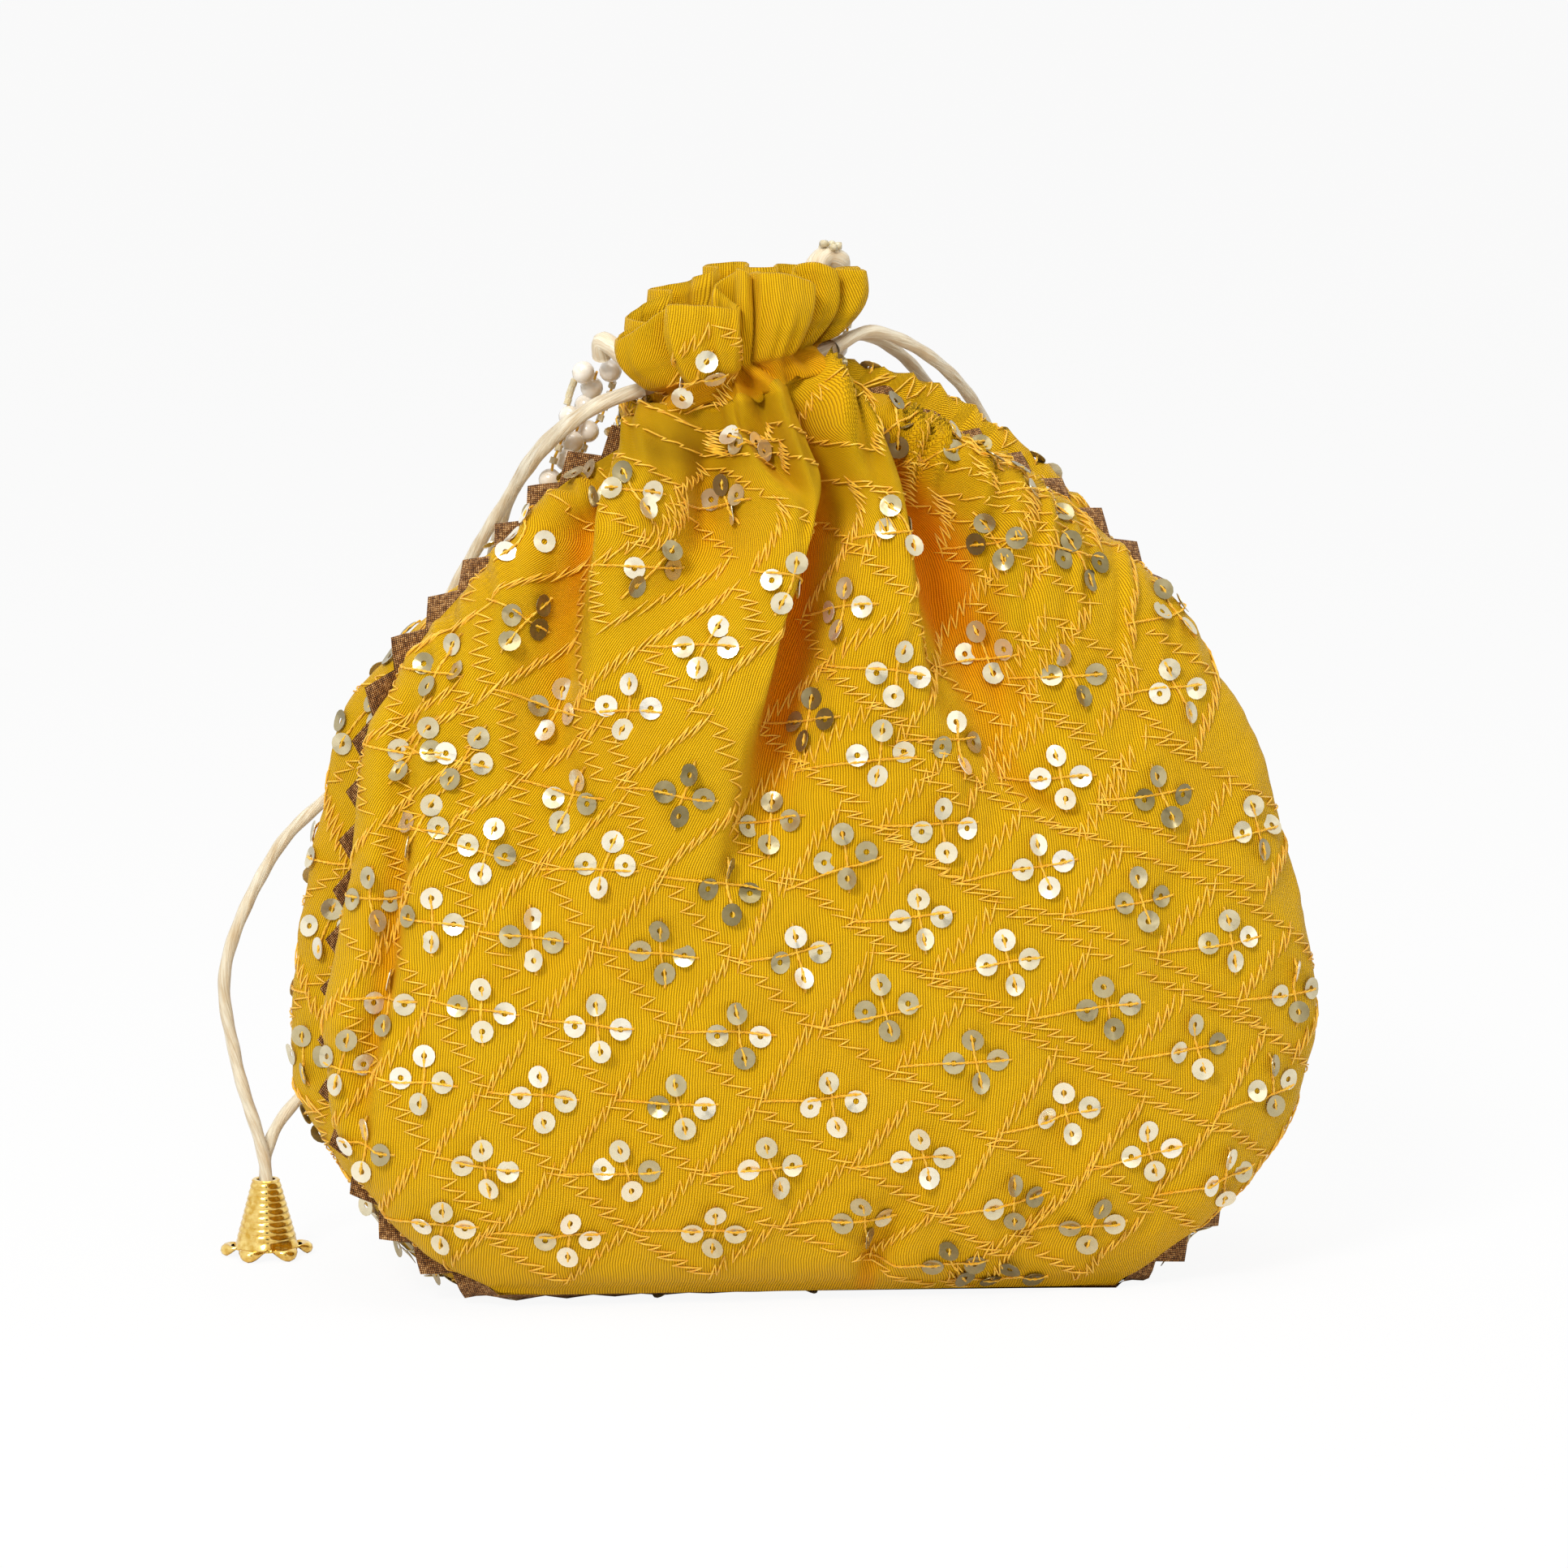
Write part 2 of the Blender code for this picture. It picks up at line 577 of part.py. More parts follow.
# The strap's way from the left loop over the shoulder, down the back and up again: through the air as millimetres from
# the neck's middle, and on the back as places across it and up in stations.
HANDLE_OFF_LEFT = [(-27, 14, 0), (-29, 19, -8)]
HANDLE_ON_BACK = [
    (0.165, 15.0), (0.215, 14.1), (0.255, 13.1), (0.29, 12.1), (0.33, 11.2), (0.37, 10.6), (0.415, 10.4), (0.46, 10.8),
    (0.49, 11.8), (0.505, 13.0), (0.515, 14.2),
]
HANDLE_OFF_RIGHT = [(16.5, 21, -11), (19, 20, -1), (21.2, 19, 9), (22.6, 18, 17.5)]


def handle_line():
    """A function from 0 to 1 along the strap to (place, direction, outward), and the strap's length."""
    lift = PEARL / 2 + 5 * CLEARANCE
    route = [NECK_MIDDLE + Vector(p) * MM for p in HANDLE_OFF_LEFT]
    outs = [Vector((-0.3, 1, 0.1))] * len(route)
    for across, at in HANDLE_ON_BACK:
        normal = cloth_normal(False, across, at)
        route.append(cloth_point(False, across, at) + normal * lift)
        outs.append(normal)
    route += [NECK_MIDDLE + Vector(p) * MM for p in HANDLE_OFF_RIGHT]
    outs += [Vector((0.2, 1, 0))] * len(HANDLE_OFF_RIGHT)
    count = 300
    rows = [(*p, *n) for p, n in zip(route, outs)]
    fine = [spline(rows, k / count * (len(rows) - 1)) for k in range(count + 1)]
    for _ in range(40):
        inner = [[(a + 2 * b + c) / 4 for a, b, c in zip(*fine[k - 1 : k + 2])] for k in range(1, count)]
        fine = [fine[0], *inner, fine[-1]]
    places = [Vector(row[:3]) for row in fine]
    outs = [Vector(row[3:]).normalized() for row in fine]
    lengths = [0.0]
    for a, b in zip(places, places[1:]):
        lengths.append(lengths[-1] + (b - a).length)

    def line(share):
        at = share * lengths[-1]
        k = 0
        while k < count - 1 and lengths[k + 1] < at:
            k += 1
        part = (at - lengths[k]) / (lengths[k + 1] - lengths[k])
        here = places[k].lerp(places[k + 1], part)
        along = (places[min(k + 4, count)] - places[max(k - 3, 0)]).normalized()
        outward = outs[k].lerp(outs[k + 1], part)
        return here, along, (outward - along * outward.dot(along)).normalized()

    return line, lengths[-1]


def beaded_handle(pearl_finish, seed_finish):
    """Three strings of beads: the edges bring a pearl each together, then run apart round the middle's own pearl."""
    line, length = handle_line()
    unit = PEARL + SEEDS_IN_A_RUN * SEED
    units = round(length / unit)
    scale = length / (units * unit + PEARL)
    close, apart = PEARL / 2 + THREAD / 2 + CLEARANCE, PEARL / 2 + SEED / 2 + 3 * CLEARANCE
    pearl = (PEARL * scale, PEARL / 2, close)
    seed = (SEED * scale, SEED / 2, apart)
    edge, middle = [], []
    for _ in range(units):
        edge += [pearl] + [seed] * SEEDS_IN_A_RUN
        run = SEEDS_IN_A_RUN * SEED * scale
        middle += [(PEARL * scale, THREAD / 2, 0.0)] + [(run / 2, PEARL / 2, 0.0)] * 2
    edge.append(pearl)
    middle.append((PEARL * scale, THREAD / 2, 0.0))
    bead_string("handle_left_string", edge, line, -1, seed_finish)
    bead_string("handle_middle_string", middle, line, 0, pearl_finish)
    bead_string("handle_right_string", edge, line, 1, seed_finish)


def handle_loops(finish):
    """The satin loops that tie the strap's ends to the neck, under the ruffle."""
    line, _ = handle_line()
    gap = 0.8 * HANDLE_LOOP_DIAMETER
    sewn = HANDLE_LOOP_DIAMETER / 2 + 2 * CLEARANCE
    for name, share, bends, foot_across, foot_at in (
        ("handle_left_loop", 0.0, [(-26.5, 9.5, 5)], 0.12, 19.7),
        ("handle_right_loop", 1.0, [(20.4, 16, 23), (16.2, 15, 21.8)], 0.80, 20.6),
    ):
        here, along, _ = line(share)
        end = here + along * (gap if share else -gap)
        off = cloth_normal(False, foot_across, foot_at)
        foot = cloth_point(False, foot_across, foot_at) + off * sewn
        cord(name, [end, *(NECK_MIDDLE + Vector(p) * MM for p in bends), foot], HANDLE_LOOP_DIAMETER, finish)


def main():
    for old in list(bpy.data.objects):
        bpy.data.objects.remove(old)
    cloth = material("yellow_cloth", (0.86, 0.47, 0.02), 0.62)
    satin = material("cream_satin", (0.86, 0.75, 0.52), 0.35)
    gold = material("gold_plate", (0.92, 0.66, 0.22), 0.16, 1.0)
    ribbon = material("bronze_ribbon", (0.36, 0.19, 0.06), 0.45, 0.4)
    pearl = material("pearl", (0.90, 0.84, 0.72), 0.2)
    crystal = material("clear_bead", (0.90, 0.87, 0.76), 0.1)

    panel("front_panel", True, FRONT_COLUMNS, cloth)
    panel("back_panel", False, BACK_COLUMNS, cloth)
    casing_band(cloth)
    ribbon_trim(ribbon)
    level = CORD_DIAMETER / 2 + 0.7 * CLEARANCE
    drawstring("left_drawstring", -1, level, (LEFT_FRONT_STRAND, LEFT_BACK_STRAND), LEFT_BELL_AT, satin)
    drawstring("right_drawstring", 1, -level, (RIGHT_FRONT_STRAND, RIGHT_BACK_STRAND), RIGHT_BELL_AT, satin)
    for side, place in (("left", LEFT_BELL_AT), ("right", RIGHT_BELL_AT)):
        bell(f"{side}_bell", place, gold)
        knot(f"{side}_knot", place + Vector((0, 0, knot_height())), satin)
    beaded_handle(pearl, crystal)
    handle_loops(satin)


main()
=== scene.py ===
"""Looks of a potli: a stuffed drawstring pouch of embroidered yellow cloth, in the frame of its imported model.

Metres, +Z up, and the front of the bag faces -Y. Tables of places are in millimetres.
"""

import math
import random

import bpy
import numpy as np
from mathutils import Matrix, Vector


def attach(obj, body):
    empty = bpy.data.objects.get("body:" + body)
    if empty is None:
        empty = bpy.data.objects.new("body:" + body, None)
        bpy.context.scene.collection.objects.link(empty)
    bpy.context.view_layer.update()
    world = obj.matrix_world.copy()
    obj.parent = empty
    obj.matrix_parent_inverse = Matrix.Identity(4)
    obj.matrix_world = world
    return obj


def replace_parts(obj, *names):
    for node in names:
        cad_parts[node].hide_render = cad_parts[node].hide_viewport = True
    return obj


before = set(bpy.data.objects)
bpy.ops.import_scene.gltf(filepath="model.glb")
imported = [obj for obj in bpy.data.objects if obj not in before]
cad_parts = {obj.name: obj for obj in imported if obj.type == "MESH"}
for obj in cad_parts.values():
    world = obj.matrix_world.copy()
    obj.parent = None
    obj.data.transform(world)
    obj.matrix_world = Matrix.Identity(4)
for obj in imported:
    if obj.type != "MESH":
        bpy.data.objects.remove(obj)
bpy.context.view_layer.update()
MM = 0.001
CHANCE = random.Random(7)

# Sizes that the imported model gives
CORD_DIAMETER = 2.6 * MM
CORD_RING = 20.8 * MM
NECK_MIDDLE = Vector((-15 * MM, 0, 188 * MM))
NECK_LEAN = math.radians(16)
BELL_HEIGHT = 16.8 * MM
LEFT_BELL_AT = Vector((-111.5 * MM, 30 * MM, 0))
RIGHT_BELL_AT = Vector((52 * MM, 62 * MM, 0))
PEARL = 4.7 * MM
SEED = 2.1 * MM
FLOOR_GAP = 0.05 * MM

# The camera stands a little to the left of the bag's front and above its middle
TARGET = Vector((-5.8 * MM, 0, 102.4 * MM))
AZIMUTH = math.radians(-8)
ELEVATION = math.radians(8.5)
DISTANCE = 1.2
FRAME_WIDTH = 0.322
SENSOR = 36.0
LENS = SENSOR * DISTANCE / FRAME_WIDTH


def make_camera():
    data = bpy.data.cameras.new("camera")
    data.sensor_width = SENSOR
    data.lens = LENS
    data.clip_start = 0.02
    camera = bpy.data.objects.new("camera", data)
    bpy.context.scene.collection.objects.link(camera)
    level = math.cos(ELEVATION)
    back = Vector((math.sin(AZIMUTH) * level, -math.cos(AZIMUTH) * level, math.sin(ELEVATION)))
    camera.location = TARGET + back * DISTANCE
    camera.rotation_euler = back.to_track_quat("Z", "Y").to_euler()
    bpy.context.scene.camera = camera
    return camera


CAMERA = make_camera()


# Making meshes


def new_piece(name, points, faces, finish, slot, uv=None):
    """A piece at the origin, held above the floor and riding on the bag. uv is one pair for each point."""
    mesh = bpy.data.meshes.new(name)
    points = np.array(points, float)
    points[:, 2] = np.maximum(points[:, 2], FLOOR_GAP)
    mesh.from_pydata(points.tolist(), [], [list(map(int, f)) for f in faces])
    mesh.materials.append(finish)
    if uv is not None:
        corners = np.zeros(len(mesh.loops), np.int32)
        mesh.loops.foreach_get("vertex_index", corners)
        layer = mesh.uv_layers.new(name="cloth")
        layer.data.foreach_set("uv", np.asarray(uv, np.float32)[corners].ravel())
    mesh.shade_smooth()
    piece = bpy.data.objects.new(name, mesh)
    bpy.context.scene.collection.objects.link(piece)
    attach(piece, "root")
    return piece


def point_values(piece, name, values):
    """A number for each point of a piece, which its material reads."""
    made = piece.data.attributes.new(name, "FLOAT", "POINT")
    made.data.foreach_set("value", np.asarray(values, np.float32))


def joined(parts):
    """Many small meshes as one: parts are (points, faces), and faces index their own points."""
    points, faces, first = [], [], 0
    for p, f in parts:
        points.append(np.asarray(p, float))
        faces.extend((np.asarray(face) + first).tolist() for face in f)
        first += len(p)
    return np.concatenate(points), faces


def grid_faces(rows, columns, flip=False):
    a = (np.arange(rows - 1)[:, None] * columns + np.arange(columns - 1)[None, :]).ravel()
    quads = np.stack([a, a + 1, a + 1 + columns, a + columns], 1)
    return quads[:, ::-1] if flip else quads


def spline(rows, at):
    """The Catmull-Rom curve through rows of numbers, at places counted in rows."""
    rows = np.asarray(rows, float)
    at = np.clip(np.asarray(at, float), 0, len(rows) - 1)
    k = np.minimum(at.astype(int), len(rows) - 2)
    u = (at - k)[..., None]
    p = [rows[np.clip(k + step, 0, len(rows) - 1)] for step in (-1, 0, 1, 2)]
    return (
        p[0] * (-u + 2 * u**2 - u**3) + p[1] * (2 - 5 * u**2 + 3 * u**3)
        + p[2] * (u + 4 * u**2 - 3 * u**3) + p[3] * (u**3 - u**2)
    ) / 2


def smooth(x):
    x = np.clip(x, 0, 1)
    return x * x * (3 - 2 * x)


def unit(v):
    return v / np.maximum(np.linalg.norm(v, axis=-1, keepdims=True), 1e-12)


def lengths_along(line):
    """How far along a line each of its points lies."""
    return np.concatenate([[0], np.cumsum(np.linalg.norm(np.diff(line, axis=0), axis=1))])


def at_lengths(line, lengths, at):
    """The places that lie the given way along a line."""
    return np.stack([np.interp(at, lengths, column) for column in line.T], -1)


def evenly(line, step, group=1):
    """Points about step apart along a line, with a whole number of groups of steps."""
    lengths = lengths_along(line)
    count = group * round(lengths[-1] / step / group)
    return at_lengths(line, lengths, np.linspace(0, lengths[-1], count + 1))


def even_curve(route, step):
    """Points step apart on the smooth curve through a route's points."""
    route = np.array([tuple(p) for p in route], float)
    fine = 60 * (len(route) - 1)
    return evenly(spline(route, np.linspace(0, len(route) - 1, fine + 1)), step)


def frames_along(line):
    """Directions along a line and two across it that don't twist."""
    line = np.asarray(line, float)
    along = unit(np.gradient(line, axis=0))
    first = np.cross(along[0], [0.0, 0.0, 1.0])
    if np.linalg.norm(first) < 0.1:
        first = np.cross(along[0], [1.0, 0.0, 0.0])
    side = [unit(first)]
    for k in range(1, len(line)):
        moved = side[-1] - along[k] * (side[-1] @ along[k])
        side.append(unit(moved))
    side = np.array(side)
    return along, side, np.cross(along, side)


def tube(line, radius, sides, twist=0.0):
    """Points, faces and UVs of a round tube with closed ends; twist is in turns for each metre."""
    line = np.asarray(line, float)
    _, side, up = frames_along(line)
    gone = lengths_along(line)
    radius = np.broadcast_to(radius, len(line))
    turn = 2 * np.pi * (np.arange(sides + 1) / sides)
    ring = np.cos(turn)[None, :, None] * side[:, None] + np.sin(turn)[None, :, None] * up[:, None]
    points = line[:, None] + ring * radius[:, None, None]
    across = (turn / (2 * np.pi))[None, :] + twist * gone[:, None]
    uv = np.stack([across, np.broadcast_to(gone[:, None], across.shape)], -1)
    faces = grid_faces(len(line), sides + 1, True).tolist()
    start = len(line) * (sides + 1)
    points = np.concatenate([points.reshape(-1, 3), line[:1], line[-1:]])
    uv = np.concatenate([uv.reshape(-1, 2), [[0, 0], [0, gone[-1]]]])
    last = (len(line) - 1) * (sides + 1)
    faces += [[start, k + 1, k] for k in range(sides)]
    faces += [[start + 1, last + k, last + k + 1] for k in range(sides)]
    return points, faces, uv


def start_shape(add, **settings):
    """An object that an operator adds, in edit mode with nothing else selected."""
    bpy.ops.object.select_all(action="DESELECT")
    add(**settings)
    bpy.ops.object.mode_set(mode="EDIT")
    bpy.ops.mesh.select_all(action="SELECT")
    return bpy.context.object


def select_only(items, wanted):
    """Selects the points or faces of the object in edit mode that are wanted."""
    bpy.ops.mesh.select_all(action="DESELECT")
    bpy.ops.object.mode_set(mode="OBJECT")
    for item in items():
        item.select = wanted(item)
    bpy.ops.object.mode_set(mode="EDIT")


def end_shape(made):
    """The points and faces of a shape in edit mode, whose object then goes."""
    bpy.ops.object.mode_set(mode="OBJECT")
    points = np.array([v.co for v in made.data.vertices])
    faces = [list(p.vertices) for p in made.data.polygons]
    bpy.data.objects.remove(made)
    return points, faces


# Materials


class Value:
    """A number or colour that the nodes give; sums of values add Math nodes."""

    def __init__(self, nodes, socket):
        self.nodes = nodes
        self.socket = socket

    def math(self, operation, *others):
        return self.nodes.node("ShaderNodeMath", {"operation": operation}, dict(enumerate((self, *others))))

    def __add__(self, other):
        return self.math("ADD", other)

    def __sub__(self, other):
        return self.math("SUBTRACT", other)

    def __mul__(self, other):
        return self.math("MULTIPLY", other)

    def __truediv__(self, other):
        return self.math("DIVIDE", other)

    def __pow__(self, other):
        return self.math("POWER", other)

    def __abs__(self):
        return self.math("ABSOLUTE")

    def wave(self):
        """The height of a row of round ribs, one for each whole number."""
        return abs((self * math.pi).math("SINE"))


class Nodes:
    """A node tree, with one method that adds to it."""

    def __init__(self, tree):
        self.tree = tree

    def node(self, kind, settings, sockets, output=0):
        """Adds a node: its settings first, a ramp's stops among them, and then what its sockets hold."""
        made = self.tree.nodes.new(kind)
        for key, value in settings.items():
            if key == "stops":
                ramp = made.color_ramp
                while len(ramp.elements) < len(value):
                    ramp.elements.new(0.5)
                for element, (place, colour) in zip(ramp.elements, value):
                    element.position = place
                    element.color = (*colour, 1)
            else:
                setattr(made, key, value)
        for key, value in sockets.items():
            self.give(made.inputs[key], value)
        return Value(self, made.outputs[output])

    def give(self, socket, value):
        if isinstance(value, Value):
            self.tree.links.new(value.socket, socket)
        elif isinstance(value, tuple) and len(value) == 3 and socket.type == "RGBA":
            socket.default_value = (*value, 1)
        else:
            socket.default_value = value


class Finish(Nodes):
    """One material, and the patterns that its nodes make."""

    def __init__(self, name, **constants):
        self.material = bpy.data.materials.new(name)
        self.material.use_nodes = True
        super().__init__(self.material.node_tree)
        self.shader = self.tree.nodes["Principled BSDF"]
        self.done(**constants)

    def cloth_place(self):
        """The piece's own coordinates, in metres: across the weave and along it."""
        pair = self.node("ShaderNodeUVMap", {"uv_map": "cloth"}, {})
        return [self.node("ShaderNodeSeparateXYZ", {}, {0: pair}, k) for k in (0, 1)]

    def place(self):
        return self.node("ShaderNodeTexCoord", {}, {}, "Object")

    def attribute(self, name):
        """What point_values gave each point."""
        return self.node("ShaderNodeAttribute", {"attribute_name": name}, {}, "Fac")

    def vector(self, x, y, z=0.0):
        return self.node("ShaderNodeCombineXYZ", {}, {0: x, 1: y, 2: z})

    def noise(self, vector, scale, detail=2.0, roughness=0.5):
        sockets = {"Vector": vector, "Scale": scale, "Detail": detail, "Roughness": roughness}
        return self.node("ShaderNodeTexNoise", {}, sockets)

    def colours(self, value, stops):
        return self.node("ShaderNodeValToRGB", {"stops": stops}, {0: value})

    def mix(self, share, first, second, blend="MIX"):
        settings = {"data_type": "RGBA", "blend_type": blend}
        return self.node("ShaderNodeMix", settings, {0: share, 6: first, 7: second}, 2)

    def bump(self, height, distance, strength=1.0, below=None):
        sockets = {"Strength": strength, "Distance": distance, "Height": height}
        if below is not None:
            sockets["Normal"] = below
        return self.node("ShaderNodeBump", {}, sockets)

    def done(self, **sockets):
        """Gives the shader's sockets, named with underlines for spaces, what they hold."""
        for key, value in sockets.items():
            self.give(self.shader.inputs[key.replace("_", " ")], value)
        return self.material


# The weave's ribs, how far they stray sideways, the beads along them, and the painted shade and painted glow of
# the cloth deep in a fold
RIB = 0.54 * MM
RIB_SWAY = 0.9 * MM
BEAD = 0.31 * MM
PAINTED_FOLD_SHADE = (1.0, 0.53, 0.2)
PAINTED_FOLD_GLOW = (1.0, 0.2, 0.0)


def woven_finish(name, thread, groove, shade, hollows=False):
    """Ribbed woven cloth: ribs of beads with slubs, thin gaps between them painted dark as painted shade, and
    broad patches of another tone.
    """
    f = Finish(
        name, Roughness=0.42, Specular_IOR_Level=0.2, Specular_Tint=(1.0, 0.82, 0.35),
        Sheen_Weight=0.04, Sheen_Roughness=0.4, Sheen_Tint=(1.0, 0.8, 0.3),
    )
    u, v = f.cloth_place()
    sway = f.noise(f.vector(u * 0.35, v), 140) - 0.5
    ribs = (u + sway * RIB_SWAY) / RIB
    number = ribs.math("FLOOR")
    start = f.node("ShaderNodeTexWhiteNoise", {"noise_dimensions": "1D"}, {"W": number})
    bead = (v / BEAD + start).wave()
    slub = f.noise(f.vector(number * 3.7, v * 130), 1.0)
    height = ribs.wave() ** 0.7 * (bead * 0.35 + 0.65) * (slub * 0.5 + 0.75)
    # The ribs' height also sets the colour: lighter on their crests, darker in the gaps between ribs and beads,
    # as painted shade
    middle = tuple((a + b) / 2 for a, b in zip(groove, thread))
    tone = f.colours(height, [(0.0, groove), (0.34, middle), (0.74, thread)])
    tone = f.mix(f.noise(f.place(), 34, 3) ** 2 * 0.5, tone, shade)
    # Deep in the folds the colour turns a darker orange as painted shade, and glows a little as a painted glow
    if hollows:
        deep = f.attribute("hollow")
        tone = f.mix(deep, tone, PAINTED_FOLD_SHADE, "MULTIPLY")
        f.done(Emission_Color=f.mix(deep, (0.0, 0.0, 0.0), PAINTED_FOLD_GLOW), Emission_Strength=0.06)
    fuzz = f.bump(f.noise(f.place(), 2600), 0.03 * MM, 0.5)
    return f.done(Base_Color=tone, Normal=f.bump(height, 0.3 * MM, 1.0, fuzz))


def thread_finish(name, light, dark):
    """Shiny embroidery thread with fine strands along it."""
    f = Finish(name, Roughness=0.36, Specular_IOR_Level=0.5, Sheen_Weight=0.1)
    tone = f.colours(f.noise(f.place(), 900), [(0.3, dark), (0.7, light)])
    return f.done(Base_Color=tone, Normal=f.bump(f.noise(f.place(), 5200), 0.05 * MM, 0.6))


def satin_finish(name, light, dark):
    """Satin cord: long fine strands run along it in a slow twist."""
    f = Finish(name, Roughness=0.3, Specular_IOR_Level=0.55, Sheen_Weight=0.25, Sheen_Roughness=0.3)
    u, v = f.cloth_place()
    strands = f.noise(f.vector(u * 34, v * 45), 1.0, 3.0, 0.65)
    broad = f.noise(f.vector(u * 5, v * 160), 1.0)
    tone = f.colours((strands + broad) * 0.5, [(0.38, dark), (0.58, light)])
    return f.done(Base_Color=tone, Normal=f.bump(strands, 0.4 * MM, 1.0))


def sequin_finish():
    """Champagne film: its colour holds a painted reflection, lighter or darker for each disc, under a faintly
    cloudy gloss.
    """
    f = Finish("champagne_sequin", Metallic=0.7, Roughness=0.22)
    cloud = f.noise(f.place(), 420) - 0.5
    # The tone attribute sets each disc's painted reflection, from dark to pale
    tone = f.colours(f.attribute("tone") + cloud * 0.25, [
        (0.0, (0.20, 0.155, 0.06)), (0.45, (0.52, 0.44, 0.25)),
        (0.75, (0.82, 0.74, 0.53)), (1.0, (0.94, 0.89, 0.76)),
    ])
    return f.done(Base_Color=tone, Normal=f.bump(f.noise(f.place(), 260), 0.3 * MM, 0.5))


def gold_finish():
    """Plated gold, a little rougher and paler where it is rubbed."""
    f = Finish("polished_gold", Metallic=1.0)
    wear = f.noise(f.place(), 700, 3.0)
    tone = f.colours(wear, [(0.35, (0.70, 0.42, 0.07)), (0.7, (0.98, 0.74, 0.26))])
    rough = f.noise(f.place(), 1500, 3.0) * 0.14 + 0.08
    return f.done(Base_Color=tone, Roughness=rough, Normal=f.bump(wear, 0.05 * MM, 0.4))


def ribbon_finish():
    """Metallic ribbon in a close plain weave, lighter where threads cross and darker between them as painted
    shade, with painted glints at random.
    """
    f = Finish("bronze_ribbon", Metallic=0.45, Roughness=0.42, Specular_IOR_Level=0.5)
    u, v = f.cloth_place()
    pitch = 0.55 * MM
    weave = ((u + v) / pitch).wave() * ((u - v) / pitch).wave()
    # Random bright glints in the colour are painted highlights, and the weave's gaps go near black as painted
    # shade
    painted_glint = f.noise(f.place(), 1200, 3.0, 0.7) - 0.5
    dark, bronze = (0.03, 0.010, 0.003), (0.24, 0.085, 0.014)
    brass, painted_highlight = (0.42, 0.18, 0.035), (1.0, 0.70, 0.34)
    tone = f.colours(weave * 0.6 + painted_glint * 1.3, [(0.02, dark), (0.22, bronze), (0.46, brass), (0.72, painted_highlight)])
    return f.done(Base_Color=tone, Normal=f.bump(weave, 0.16 * MM))


def pearl_finish():
    f = Finish("pearl_lustre", Roughness=0.22, Specular_IOR_Level=0.6, Coat_Weight=0.6, Coat_Roughness=0.08)
    tone = f.colours(f.noise(f.place(), 520), [(0.3, (0.87, 0.76, 0.60)), (0.7, (0.95, 0.91, 0.84))])
    return f.done(Base_Color=tone)


def bead_finish():
    """Clear straw-coloured glass."""
    f = Finish(
        "clear_bead", Roughness=0.08, Transmission_Weight=0.22, IOR=1.5, Coat_Weight=0.4, Coat_Roughness=0.03,
    )
    tone = f.colours(f.noise(f.place(), 900), [(0.3, (0.80, 0.66, 0.36)), (0.7, (0.93, 0.86, 0.64))])
    return f.done(Base_Color=tone)


YELLOW = woven_finish("yellow_cloth", (0.96, 0.57, 0.006), (0.34, 0.12, 0.002), (0.86, 0.37, 0.003), True)
# The lining's deep orange is painted shade of the yellow cloth inside the mouth
LINING_PAINTED_SHADE = woven_finish("lining_in_painted_shade", (0.97, 0.36, 0.02), (0.60, 0.14, 0.005), (0.98, 0.30, 0.02))
STITCH = thread_finish("yellow_thread", (1.0, 0.64, 0.05), (0.92, 0.44, 0.01))
SATIN = satin_finish("cream_satin", (0.97, 0.88, 0.68), (0.74, 0.56, 0.33))
SEQUIN = sequin_finish()
GOLD = gold_finish()
RIBBON = ribbon_finish()
PEARL_FINISH = pearl_finish()
BEAD_FINISH = bead_finish()


# The bells and the knots in them

# A bell in millimetres: its wall's rings, the skirt under them, and the petals into which the skirt flares
BELL_RINGS, FIRST_RING, RING_RADIUS, RING_SPREAD = 9, 16.3, 2.85, 3.2
SKIRT_TOP, SKIRT_RADIUS, SKIRT_HEIGHT, SKIRT_ROWS = 4.4, 6.1, 3.0, 15
PETALS, PETAL_REACH, PETAL_DROP = 6, 2.3, 3.6
CURL_START, CURL_TURN = 0.55, math.radians(230)

# The knot's middle, and where the cord ends in the knot
KNOT_LEVEL = BELL_HEIGHT / MM - 9.792
CORD_END = KNOT_LEVEL + 2.988

# The cords: the twist of their threads in turns for each metre, the steps of their lines, how far each cord
# runs above or below the tunnel's middle, and how far its two strands lie aside of their common middle
CORD_TWIST, CORD_STEP, CORD_LEVEL, STRANDS_APART = 18.0, 1.1, 1.51, 1.45


def bell_profile():
    """Radius and height of a bell's wall from its top hole down, stepped by rings, then the skirt's rows."""
    rows = [(2.0, 16.75), (2.7, 16.8), (3.0, 16.55)]
    drop, grow = (FIRST_RING - SKIRT_TOP) / BELL_RINGS, RING_SPREAD / BELL_RINGS
    for k in range(BELL_RINGS):
        high, low = FIRST_RING - drop * k, FIRST_RING - drop * (k + 1)
        upper, lower = RING_RADIUS + grow * k, RING_RADIUS + grow * (k + 1) + 0.1
        rows += [(upper, high - 0.1), (upper + 0.16, high - 0.3)]
        rows += [(lower, low + 0.3), (lower - 0.04, low + 0.12)]
    shares = np.linspace(0, 1, SKIRT_ROWS)
    return rows + [(SKIRT_RADIUS + 0.2 * share, SKIRT_TOP - SKIRT_HEIGHT * share) for share in shares]


